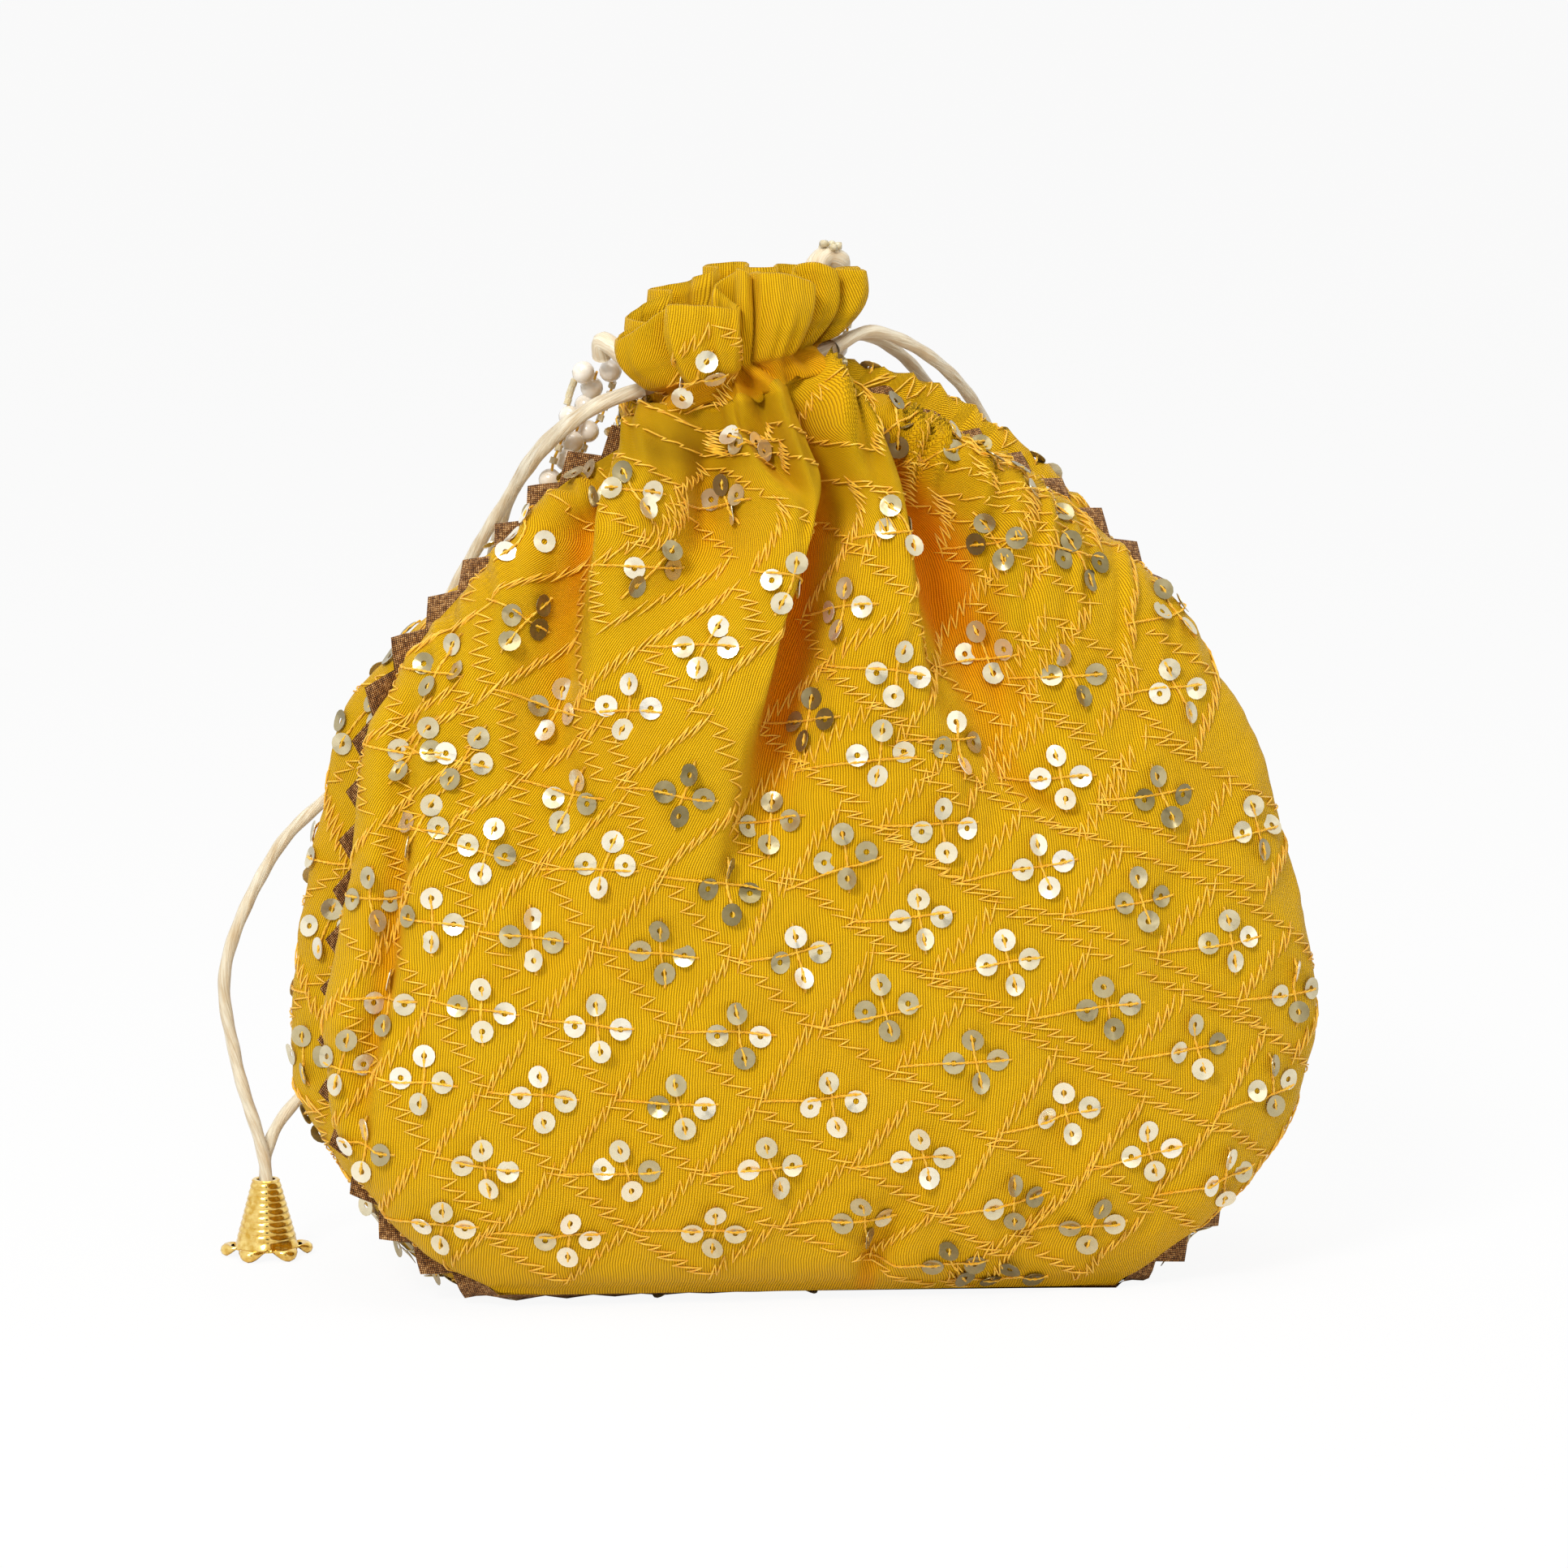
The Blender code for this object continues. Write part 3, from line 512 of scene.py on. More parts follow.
def petal_wall(share, wave):
    """Radius and height of the flared skirt: a short arch between petals, a curled tip in a petal's middle."""
    arch = SKIRT_RADIUS + 0.9 * share, SKIRT_TOP - 2.1 * share
    if share < CURL_START:
        part = share / CURL_START
        tip = SKIRT_RADIUS + PETAL_REACH * part**1.4, SKIRT_TOP - PETAL_DROP * part**0.8
    else:
        turn = (share - CURL_START) / (1 - CURL_START) * CURL_TURN - math.pi / 2
        tip = SKIRT_RADIUS + PETAL_REACH + math.cos(turn), SKIRT_TOP - PETAL_DROP + 1 + math.sin(turn)
    held = ((1 + wave) / 2) ** 0.85
    return [a + (b - a) * held for a, b in zip(arch, tip)]


def bell(word, place):
    """A bell: its wall is a profile spun round, flared into petals with rolled tips and given its thickness."""
    profile = bell_profile()
    mesh = bpy.data.meshes.new(f"{word}_petal_bell")
    edges = [(k, k + 1) for k in range(len(profile) - 1)]
    mesh.from_pydata([(r * MM, 0, z * MM) for r, z in profile], edges, [])
    made = bpy.data.objects.new(f"{word}_petal_bell", mesh)
    bpy.context.scene.collection.objects.link(made)
    bpy.ops.object.select_all(action="DESELECT")
    bpy.context.view_layer.objects.active = made
    made.select_set(True)
    bpy.ops.object.mode_set(mode="EDIT")
    bpy.ops.mesh.select_all(action="SELECT")
    bpy.ops.mesh.spin(steps=12 * PETALS, angle=2 * math.pi, center=(0, 0, 0), axis=(0, 0, 1))
    bpy.ops.mesh.select_all(action="SELECT")
    bpy.ops.mesh.remove_doubles(threshold=0.01 * MM)
    bpy.ops.mesh.normals_make_consistent(inside=False)
    bpy.ops.object.mode_set(mode="OBJECT")
    for v in mesh.vertices:
        angle = math.atan2(v.co.y, v.co.x)
        share = (SKIRT_TOP - v.co.z / MM) / SKIRT_HEIGHT
        if share > 0:
            out, height = petal_wall(min(share, 1.0), math.cos(PETALS * angle))
            v.co = (out * MM * math.cos(angle), out * MM * math.sin(angle), height * MM)
    wall = made.modifiers.new("wall", "SOLIDIFY")
    wall.thickness = 0.32 * MM
    wall.offset = -1
    bpy.ops.object.modifier_apply(modifier=wall.name)
    lowest = min(v.co.z for v in mesh.vertices)
    mesh.transform(Matrix.Translation(Vector((place.x, place.y, place.z - lowest + FLOOR_GAP))))
    mesh.materials.append(GOLD)
    mesh.shade_smooth()
    mesh.set_sharp_from_angle(angle=math.radians(42))
    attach(made, "root")
    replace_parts(made, f"{word}_bell")
    return made


def knot(word, place):
    """The cord's ends tied in a knot under the bell's top: two loops of cord wound over each other."""
    parts, uvs = [], []
    angles = np.linspace(0, 2 * math.pi, 25)
    long, short = 2.0 * np.cos(angles), 0.9 * np.sin(angles)
    for turn in (0.0, math.pi / 2):
        cos, sin = math.cos(turn), math.sin(turn)
        rise = KNOT_LEVEL + 1.1 * np.sin(angles + turn)
        line = np.stack([long * cos - short * sin, long * sin + short * cos, rise], -1) * MM + np.array(place)
        points, faces, uv = tube(line, 1.15 * MM, 10, CORD_TWIST)
        parts.append((points, faces))
        uvs.append(uv)
    made = new_piece(f"{word}_cord_knot", *joined(parts), SATIN, "satin", np.concatenate(uvs))
    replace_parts(made, f"{word}_knot")
    return made


BELLS = (("left", LEFT_BELL_AT), ("right", RIGHT_BELL_AT))
ON_CORD = {word: [bell(word, place), knot(word, place)] for word, place in BELLS}


# The cords


def in_neck(a, b, c):
    """A point given across, behind and above the leaning neck's middle, in millimetres."""
    turn = Matrix.Rotation(-NECK_LEAN, 3, "Y")
    return NECK_MIDDLE / MM + turn @ Vector((a, b, c))


def tunnel_turn(side, level):
    """A drawstring's way from its exit on one side (-1 left, 1 right), round the tunnel and out again."""
    radius = CORD_RING / 2 / MM
    entry = [(20.0, STRANDS_APART), (16.0, STRANDS_APART + 0.2), (12.6, 3.4)]
    turn = [math.radians(40 + 28 * k) for k in range(11)]
    ring = [(radius * math.cos(a), radius * math.sin(a)) for a in turn]
    flat = entry + ring + [(x, -y) for x, y in reversed(entry)]
    return [in_neck(side * x, y, level) for x, y in flat]


LEFT_FRONT_STRAND = [
    (-45, -1, 180), (-54, 7, 171.5), (-61, 17, 160), (-69, 25, 145), (-77, 29, 129), (-85, 31, 114),
    (-93, 32, 101), (-108, 33, 86), (-119, 33, 62), (-117.4, 32, 42), (-112.8, 29.6, 25),
]
LEFT_BACK_STRAND = [
    (-44.5, 4.5, 180.2), (-54.5, 13, 171), (-60.5, 23, 158), (-64.5, 31, 138), (-69, 36, 112),
    (-78, 38.6, 84), (-88, 40, 58), (-99, 38.4, 38), (-108, 34, 28), (-111.1, 31.5, 22),
]
RIGHT_FRONT_STRAND = [
    (13, 2, 195), (26, 9, 189), (37, 18, 178), (44, 25, 162), (48, 32, 136), (50, 39, 106), (51, 44, 76),
    (52, 49, 50), (52.2, 56, 30), (52, 60.8, 22),
]
RIGHT_BACK_STRAND = [
    (12, 6, 194), (23, 15, 187), (32, 24, 174), (37, 30, 158), (40, 36, 132), (43, 42, 104), (45, 47, 76),
    (47, 54, 50), (50, 61, 32), (52, 63.2, 22),
]


def strand(name, route):
    """One free strand, from where it leaves the tunnel to the knot in its bell."""
    line = even_curve(route, CORD_STEP) * MM
    radius = CORD_DIAMETER / 2 * (1 + 0.05 * np.sin(np.arange(len(line)) * 0.9))
    points, faces, uv = tube(line, radius, 14, CORD_TWIST)
    piece = new_piece(name, points, faces, SATIN, "satin", uv)


def drawstrings():
    """Both cords: the turn of each inside the tunnel, and its two strands down to the knot in the bell."""
    for word, side, level, bell_at, ways in (
        ("left", -1, CORD_LEVEL, LEFT_BELL_AT, (LEFT_FRONT_STRAND, LEFT_BACK_STRAND)),
        ("right", 1, -CORD_LEVEL, RIGHT_BELL_AT, (RIGHT_FRONT_STRAND, RIGHT_BACK_STRAND)),
    ):
        turn = tunnel_turn(side, level)
        if turn[0].y > turn[-1].y:
            turn.reverse()
        points, faces, uv = tube(even_curve(turn, CORD_STEP) * MM, CORD_DIAMETER / 2, 12, CORD_TWIST)
        made = new_piece(f"{word}_drawstring_in_tunnel", points, faces, SATIN, "satin", uv)
        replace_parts(made, f"{word}_drawstring")
        for part, aside, start, way in (
            ("front", -STRANDS_APART, turn[0], ways[0]), ("back", STRANDS_APART, turn[-1], ways[1]),
        ):
            into_bell = [bell_at / MM + Vector((0, aside, z)) for z in (BELL_HEIGHT / MM + 1, CORD_END)]
            strand(f"{word}_{part}_strand", [start, *way, *into_bell])


drawstrings()


# The cloth's surface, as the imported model's panels have it but finer


BODY_WIDTH, BODY_HEIGHT = 204.0, 180.0
FRONT_BULGE, BACK_BULGE, SEAM_GROOVE, LEFT_CORNER_LIFT = 40.0, 38.0, 7.0, 2.2
NECK_WIDTH, NECK_DEPTH, TUNNEL_HEIGHT = 34.4, 31.0, 12.0
RUFFLE_HEIGHT, RUFFLE_WIDTH, RUFFLE_DEPTH, RUFFLE_DROOP = 9.5, 51.0, 44.0, 3.0
GROOVE_WIDTH = 0.045
HALF_SEAM = 0.34
BASE_SAG = 0.8
FULLNESS = 0.72
FOOT_WIDTH, FOOT_DEPTH = 0.64, 0.78

# The body from the bottom seam up: the height, the reach to the left and right, the seam's place from back to
# front, the front's bulge and height, the back's bulge and height, and the groove's depth, as shares of the sizes
BODY = [
    (0.008, 0.667, 0.588, -0.60, 0.62, 0.008, -0.57, 0.008, 0.07),
    (0.018, 0.706, 0.637, -0.56, 0.75, 0.025, -0.43, 0.0075, 0.09),
    (0.038, 0.775, 0.696, -0.50, 0.84, 0.050, -0.26, -0.015, 0.14),
    (0.071, 0.853, 0.784, -0.45, 0.90, 0.082, 0.42, -0.02, 0.29),
    (0.110, 0.917, 0.873, -0.40, 0.96, 0.120, 0.74, 0.03, 0.46),
    (0.165, 0.980, 0.946, -0.35, 0.99, 0.170, 0.91, 0.098, 0.66),
    (0.230, 1.010, 1.000, -0.30, 1.00, 0.235, 0.98, 0.19, 0.86),
    (0.306, 1.015, 1.020, -0.25, 0.99, 0.306, 1.00, 0.285, 0.94),
    (0.393, 1.000, 1.010, -0.22, 0.95, 0.393, 0.98, 0.383, 1.00),
    (0.480, 0.980, 0.985, -0.20, 0.89, 0.480, 0.92, 0.475, 1.00),
    (0.568, 0.946, 0.936, -0.17, 0.82, 0.568, 0.85, 0.563, 0.89),
    (0.656, 0.912, 0.873, -0.15, 0.74, 0.656, 0.76, 0.65, 0.66),
    (0.727, 0.838, 0.794, -0.12, 0.68, 0.727, 0.69, 0.727, 0.40),
    (0.792, 0.730, 0.716, -0.10, 0.62, 0.792, 0.62, 0.792, 0.23),
    (0.852, 0.608, 0.598, -0.07, 0.56, 0.858, 0.56, 0.858, 0.11),
    (0.912, 0.515, 0.461, -0.04, 0.49, 0.920, 0.50, 0.92, 0.04),
]
NECK = [(-1.0, 0.10), (-0.68, 0.0), (0.68, 0.0), (1.0, 0.08)]
RUFFLE = [(0.28, 0.55), (0.64, 0.90), (1.0, 1.0)]
FIRST_NECK, FIRST_RUFFLE = len(BODY), len(BODY) + len(NECK)
TOP = len(BODY) + len(NECK) + len(RUFFLE) - 1
CINCH = FIRST_NECK + 1.5


def body_station(row):
    seam_z, left, right, seam_y, front, front_z, back, back_z, groove = row
    half = BODY_WIDTH / 2
    corner = max(0.0, 1 - seam_z / 0.16)
    height = seam_z * BODY_HEIGHT
    return [
        -left * half, height + corner * LEFT_CORNER_LIFT, right * half, height, seam_y * FRONT_BULGE,
        -front * FRONT_BULGE, (front_z - seam_z) * BODY_HEIGHT,
        back * BACK_BULGE, (back_z - seam_z) * BODY_HEIGHT, FULLNESS, groove * SEAM_GROOVE,
    ]


def neck_station(rise, spread):
    half = (NECK_WIDTH + (RUFFLE_WIDTH - NECK_WIDTH) * spread) / 2
    deep = (NECK_DEPTH + (RUFFLE_DEPTH - NECK_DEPTH) * spread) / 2
    in_ruffle = max(0.0, rise - TUNNEL_HEIGHT / 2)
    droop = RUFFLE_DROOP * in_ruffle / RUFFLE_HEIGHT
    middle_x = NECK_MIDDLE.x / MM - (rise - in_ruffle) * math.sin(NECK_LEAN)
    middle_z = NECK_MIDDLE.z / MM + rise * math.cos(NECK_LEAN)
    across, up = half * math.cos(NECK_LEAN), half * math.sin(NECK_LEAN)
    return [
        middle_x - across, middle_z - up - droop, middle_x + across, middle_z + up - droop, 0.0,
        -deep, droop, deep, droop, 1.0, 0.0,
    ]


STATIONS = np.array(
    [body_station(row) for row in BODY]
    + [neck_station(rise * TUNNEL_HEIGHT / 2, spread) for rise, spread in NECK]
    + [neck_station(TUNNEL_HEIGHT / 2 + rise * RUFFLE_HEIGHT, spread) for rise, spread in RUFFLE]
)


def smooth_cloth(front, across, at):
    """Points of the cloth without its folds, in millimetres: across from the left seam (0) to the right (1)."""
    s = spline(STATIONS, at)
    left_x, left_z, right_x, right_z, seam_y = (s[..., i] for i in range(5))
    reach, rise = (s[..., 5], s[..., 6]) if front else (s[..., 7], s[..., 8])
    fullness, groove = s[..., 9], s[..., 10]
    turn = np.cos(np.pi * across)
    share = (1 - turn * (1 + (1 - fullness) * (1 - turn**2) / 2)) / 2
    belly = np.maximum(0.0, np.sin(np.pi * across)) ** np.maximum(0.5, fullness)
    x = left_x + (right_x - left_x) * share
    x += groove * (np.exp(-((across / GROOVE_WIDTH) ** 2)) - np.exp(-(((1 - across) / GROOVE_WIDTH) ** 2)))
    z = np.maximum(0.0, left_z + (right_z - left_z) * share + rise * belly)
    start = seam_y + (-1 if front else 1) * HALF_SEAM
    return np.stack([x, start + (reach - start) * belly, z], -1)


# The folds as they fall from the neck. Each is a ridge, or a valley where its height is negative: how far it
# leans to the right for each millimetre of height, and rows of the height above the base, the place across, the
# width to the left and right, and how high it stands.
FRONT_FOLDS = [
    (-0.9, [
        (188, -26, 3, 3, 2), (179, -27, 3.4, 3.8, 4.5), (174, -30.5, 4.8, 5.6, 6.4),
        (162, -35, 6.6, 9, 8.4), (153, -36.5, 7, 9, 8.6), (137, -39, 8, 11, 7), (122, -40.5, 9, 14, 5),
        (107, -41, 10.5, 17, 2.8), (88, -43, 12, 18, 0.8), (70, -45, 12, 18, 0),
    ]),
    (0.0, [
        (188, -23, 1.4, 1.4, -2.4), (178, -22.6, 1.8, 1.8, -6), (160, -23.6, 2.2, 2.2, -7.5),
        (152, -25.5, 2.6, 3, -5.5), (145, -28, 3.5, 4, -2.6), (134, -31, 4, 5, 0),
    ]),
    (0.3, [
        (190, -19, 2, 2, 1.5), (180, -20, 2.2, 2.2, 4.5), (172, -19.6, 3, 2.6, 6.5),
        (164, -18.6, 4, 3.2, 4.6), (154, -18, 5, 5, 0),
    ]),
    (0.0, [
        (184, -17.8, 1.1, 1.1, -2), (176, -17.2, 1.3, 1.3, -5), (169, -15.8, 1.4, 1.4, -4.5),
        (162, -14.2, 1.6, 1.6, 0),
    ]),
    (0.8, [
        (188, -12, 3.6, 3.6, 2.4), (181, -12, 4.4, 4, 5), (173, -11.8, 5.2, 4.6, 8),
        (166, -11.6, 6.2, 5, 10), (159, -13.2, 8, 5.6, 10.2), (145, -17.2, 10, 6.2, 9.6),
        (137, -19.8, 11, 6.2, 9), (123, -23, 13, 6.6, 8), (114, -25.6, 14, 7, 6.6),
        (102, -28.4, 15, 7.4, 5.2), (88, -33, 16, 9, 3), (72, -37, 16, 10, 0),
    ]),
    (0.0, [
        (188, -7, 1.8, 1.8, -2), (176, -5.3, 2, 2.4, -6), (164, -3.6, 2.6, 2.6, -9.5),
        (153, -5.4, 3, 3, -11), (145, -6.8, 3.4, 3.6, -11), (133, -8.4, 4, 4.2, -10),
        (121, -10.8, 4.4, 5, -8.4), (110, -13.4, 5, 6, -6), (100, -16.6, 6, 7, -3.6), (82, -21, 7, 8, 0),
    ]),
    (0.9, [
        (190, -2, 3, 3, 1.5), (183, 0, 3.8, 3.8, 4.5), (176, 2.2, 4.6, 4.6, 7), (166, 3.4, 6, 5.6, 9.4),
        (157, 4, 7.4, 6.8, 10), (147, 5.2, 9, 7.4, 9.6), (137, 6, 10.4, 8.8, 8.4), (128, 7.4, 12.4, 10, 7),
        (117, 10.6, 14, 11.6, 5), (100, 15, 16, 14, 2.4), (82, 18, 16, 16, 0),
    ]),
    (0.0, [
        (182, 9.4, 2.2, 3.6, -3), (171, 13, 3, 6, -8), (163, 17, 3.6, 8.4, -10),
        (155, 20.4, 4.2, 10, -10.4), (143, 23.4, 5, 11, -9), (132, 27.4, 6, 12, -7),
        (120, 33, 7.4, 12, -4.6), (108, 39, 8, 10, -2.4), (92, 45, 8, 10, 0),
    ]),
    (0.2, [
        (184, 8, 2, 4, 1), (176, 17, 3, 5, 3), (171, 26, 4, 6, 4), (161, 38, 7, 8, 3.8),
        (150, 47, 9, 10, 2.4), (130, 56, 12, 12, 0),
    ]),
    (0.0, [
        (180, -32, 2, 2, -2), (174, -37, 3.4, 2.4, -4.6), (166, -44, 5, 2.8, -6),
        (154, -49.4, 6.4, 3, -6.2), (137, -53, 8, 3.6, -5), (123, -55, 9, 4.6, -3.4),
        (106, -57, 10, 6, -1.4), (90, -58, 10, 6, 0),
    ]),
    (0.0, [
        (168, -56, 5, 6, 1.2), (150, -63, 8, 8, 2.4), (130, -69, 10, 10, 2.4), (104, -74, 12, 12, 0),
    ]),
    (0.0, [
        (130, -82, 2, 2, 0), (118, -85.6, 2.2, 3, -2.2), (94, -88, 2.4, 3.2, -4.2),
        (74, -91, 2.4, 3.2, -4.8), (54, -94.6, 2.2, 2.8, -4.2), (42, -96, 2, 2.4, -2.6),
        (28, -95, 2, 2, 0),
    ]),
    (0.0, [
        (124, 30, 3, 3, 0), (112, 34, 3, 3.6, -1.6), (104, 41, 3.4, 3, -2.4), (96, 54, 4, 4, 0),
    ]),
    (0.0, [
        (100, -30, 8, 10, 0), (84, -27, 9, 11, 1.6), (70, -19, 9, 10, 2), (58, -10, 8, 8, 0),
    ]),
    (0.0, [
        (92, 58, 9, 9, 0), (76, 52, 10, 10, 1.4), (58, 60, 12, 12, 1.2), (36, 66, 10, 10, 0),
    ]),
    (0.0, [
        (104, -64, 3, 4, 0), (94, -62, 3.4, 5, -1.4), (82, -60, 4, 5, -1.6), (62, -58, 5, 6, 0),
    ]),
    (0.0, [
        (36, 13, 5, 6, 0), (24, 12, 4, 5, -1.4), (12, 9, 3, 3.6, -3.4), (4, 7, 2.6, 3, -5),
    ]),
]
BACK_FOLDS = [
    (-0.3, [
        (190, -27, 3, 3, 2), (176, -31, 5, 5, 5), (160, -36, 8, 8, 5.5), (140, -41, 10, 12, 4),
        (118, -45, 13, 15, 2), (90, -48, 14, 16, 0),
    ]),
    (0.0, [
        (188, -22, 2, 2, -3), (172, -23, 2.6, 2.6, -5.5), (152, -26, 3.4, 4, -5), (130, -29, 5, 6, -2.5),
        (108, -31, 6, 7, 0),
    ]),
    (0.4, [
        (190, -15, 3, 3, 2), (174, -14, 5, 5, 5.5), (156, -13, 8, 7, 6), (136, -12, 10, 9, 4.6),
        (112, -12, 13, 12, 2.4), (84, -12, 14, 14, 0),
    ]),
    (0.0, [
        (188, -7, 2, 2, -3), (172, -4, 2.6, 3, -5.5), (152, 0, 3.4, 4, -6), (132, 4, 5, 6, -3.4),
        (106, 8, 6, 8, 0),
    ]),
    (0.4, [
        (190, -2, 3, 3, 2), (178, 4, 4, 5, 4.6), (162, 12, 7, 7, 5.6), (142, 18, 9, 9, 4.2),
        (118, 24, 12, 12, 2), (90, 28, 14, 14, 0),
    ]),
    (0.0, [
        (180, 9, 2, 3, -2), (168, 18, 3, 5, -4.5), (150, 27, 5, 7, -4.5), (130, 34, 7, 9, -2.4),
        (106, 40, 9, 10, 0),
    ]),
    (0.0, [
        (178, -36, 3, 3, -2), (164, -45, 4, 4, -4), (146, -52, 6, 6, -3.4), (122, -58, 8, 8, 0),
    ]),
]


def waves(x, z, longest, count, upright, rng):
    """Seeded soft noise: a sum of waves, with crests upright where upright is near 1."""
    total = np.zeros_like(x)
    for _ in range(count):
        angle = rng.uniform(-1, 1) * (1 - upright) * math.pi / 2
        length = longest * rng.uniform(0.45, 1.0)
        phase = rng.uniform(0, 2 * math.pi)
        total += np.sin(2 * math.pi / length * (x * math.cos(angle) + z * math.sin(angle)) + phase)
    return total / math.sqrt(count)


# How steep a fold's sides are, and how far out a fold lies that runs beside the seam itself
FOLD_EDGE = 2.7
AT_THE_SEAM = 80

# The cloth's own unevenness: the height of its waves, where on the bag they start and over how many millimetres,
# how much narrower and shorter they are, the longest wave, how many there are, and how upright their crests are
UNEVENNESS = [
    (0.6, -1, 1, 1, 1, 46, 14, 0.4),
    (0.26, -1, 1, 1, 1, 18, 16, 0.3),
    (0.6, 100, 70, 1.6, 0.5, 13, 14, 0.85),
    (1.8, 158, 18, 1.3, 0.2, 9, 10, 0.9),
    (0.07, -1, 1, 1, 1, 6, 14, 0.2),
]


def fold_shift(front, x, z, across):
    """How far the folds lift the cloth off its smooth form, and how far they push it to the right."""
    lift, push = np.zeros_like(x), np.zeros_like(x)
    inside = np.sin(np.pi * across)
    for lean, rows in FRONT_FOLDS if front else BACK_FOLDS:
        rows = np.array(sorted(rows), float)
        places = np.interp(z, rows[:, 0], np.arange(len(rows)))
        middle, left, right, height = np.moveaxis(spline(rows[:, 1:], places), -1, 0)
        outside = np.maximum(rows[0, 0] - z, 0) + np.maximum(z - rows[-1, 0], 0)
        height = height * np.exp(-((outside / 4) ** 2))
        off = x - middle
        own = height * np.exp(-(np.abs(off / np.where(off < 0, left, right)) ** FOLD_EDGE))
        if abs(rows[:, 1]).max() < AT_THE_SEAM:
            own = own * np.clip(inside / 0.25, 0, 1)
        lift += own
        push += lean * own
    rng = np.random.default_rng(5 if front else 6)
    rough = np.zeros_like(x)
    for height, start, over, narrow, tall, longest, count, upright in UNEVENNESS:
        rough += height * smooth((z - start) / over) * waves(x * narrow, z * tall, longest, count, upright, rng)
    lift += rough * np.clip(inside / 0.12, 0, 1) * smooth((z - 1.5) / 12)
    return lift, push


# The ruffle's pleats from above: the way of its top edge from seam to seam, and how high that edge stands
FRONT_PLEATS = [
    (-33.5, 0.5, 197), (-37.5, -1, 196), (-40.6, -4.4, 194.6), (-40.6, -8.4, 194.4), (-37, -11.4, 197),
    (-32.6, -12, 200), (-29.6, -11.6, 201.6), (-30, -13.6, 201.8), (-32, -16.4, 201.6), (-31.8, -19, 202),
    (-28.6, -20.2, 202), (-22, -20.4, 201.6), (-18.4, -20, 201), (-17.2, -18.2, 201.4),
    (-18.6, -14.2, 202.6), (-20.8, -10.8, 205), (-18.4, -9.2, 207), (-17, -11.4, 208.4),
    (-17.6, -14.4, 208.8), (-15.8, -15.8, 208.4), (-14.2, -13.8, 207.2), (-14.8, -11.4, 207.4),
    (-13.8, -13.4, 208), (-12.4, -16.2, 208), (-8.4, -17, 208), (-3.4, -16, 206.6), (-1.6, -14, 205.6),
    (-2.6, -10.4, 206), (-4.8, -7.6, 208), (-2.4, -6, 209.2), (0.8, -7.6, 209.2), (3.8, -6.8, 208),
    (4, -4.6, 207.2), (2.8, -2.8, 207.2), (4.2, -2, 207.8), (6, -4, 207.8), (9.8, -4.2, 207.6),
    (10.6, -2, 207.6), (8, 0.5, 207.6),
]
BACK_PLEATS = [
    (-33.5, 0.5, 197), (-36.5, 3, 197.5), (-37.5, 6.5, 198), (-34, 8.4, 200), (-29.5, 7.4, 202),
    (-28, 9.6, 203), (-31, 12.6, 203), (-31.6, 16, 203), (-27.4, 17.6, 203.6), (-23, 15.4, 204.4),
    (-22, 11.4, 205.6), (-19.6, 10.6, 206.6), (-18, 13.6, 207.4), (-20.2, 17.8, 207.4),
    (-18.6, 20.4, 207.6), (-13.6, 20.8, 208), (-10.6, 18.4, 208), (-11.4, 14, 207.4), (-9.4, 11.4, 207.4),
    (-6, 12.6, 207.4), (-5.6, 16.8, 207.6), (-3.6, 19.4, 207.6), (0.8, 18, 207.4), (2.4, 14.6, 207.2),
    (0, 11, 207), (1.4, 8.2, 207), (5.4, 9.4, 207.2), (8.4, 11.6, 207.4), (11, 8.4, 207.6),
    (9.6, 5, 207.6), (6.6, 3.6, 207.6), (8, 0.5, 207.6),
]


def ruffle_point(front, across, rise):
    """Points of the pleated ruffle: rise is 0 at the cinched neck and 1 at the top edge."""
    rows = np.array(FRONT_PLEATS if front else BACK_PLEATS, float)
    gone = lengths_along(rows[:, :2])
    edge = across * gone[-1]
    top = spline(rows, np.interp(edge, gone, np.arange(len(rows))))
    middle = NECK_MIDDLE.x / MM
    foot_x = middle + (top[..., 0] - middle) * FOOT_WIDTH
    foot_y = top[..., 1] * FOOT_DEPTH
    foot_z = NECK_MIDDLE.z / MM - 1 + (foot_x - middle) * math.tan(NECK_LEAN)
    inside = np.clip(rise, 0, 1)
    spread = 1 - (1 - inside) ** 2.1
    rng = np.random.default_rng(12 if front else 13)
    creases = 0.34 * waves(edge, rise * 18, 6.5, 12, 0.92, rng) + 0.4 * waves(edge, rise * 18, 15, 10, 0.3, rng)
    swell = 0.9 * np.sin(np.pi * inside) + creases * np.sin(np.pi * np.clip(0.15 + 0.7 * rise, 0, 1))
    x = foot_x + (top[..., 0] - foot_x) * spread
    y = foot_y + (top[..., 1] - foot_y) * spread
    out = unit(np.stack([x - middle, y], -1))
    z = foot_z + (top[..., 2] - foot_z) * rise
    return np.stack([x + out[..., 0] * swell, y + out[..., 1] * swell, z], -1)


def clear_of_cords(points):
    """Points in millimetres, pushed out where they would lie inside the cords that run round the neck."""
    cos, sin = math.cos(NECK_LEAN), math.sin(NECK_LEAN)
    off = points - np.array(NECK_MIDDLE) / MM
    a, b, c = off[..., 0] * cos + off[..., 2] * sin, off[..., 1], off[..., 2] * cos - off[..., 0] * sin
    radius = np.maximum(np.hypot(a, b), 0.1)
    least = (CORD_RING / 2 + CORD_DIAMETER / 2) / MM + 0.45
    grow = np.maximum(least - radius, 0) * (1 - smooth((np.abs(c) - 2.8) / 1.4)) / radius
    out = np.stack([a * grow * cos, b * grow, a * grow * sin], -1)
    return points + out


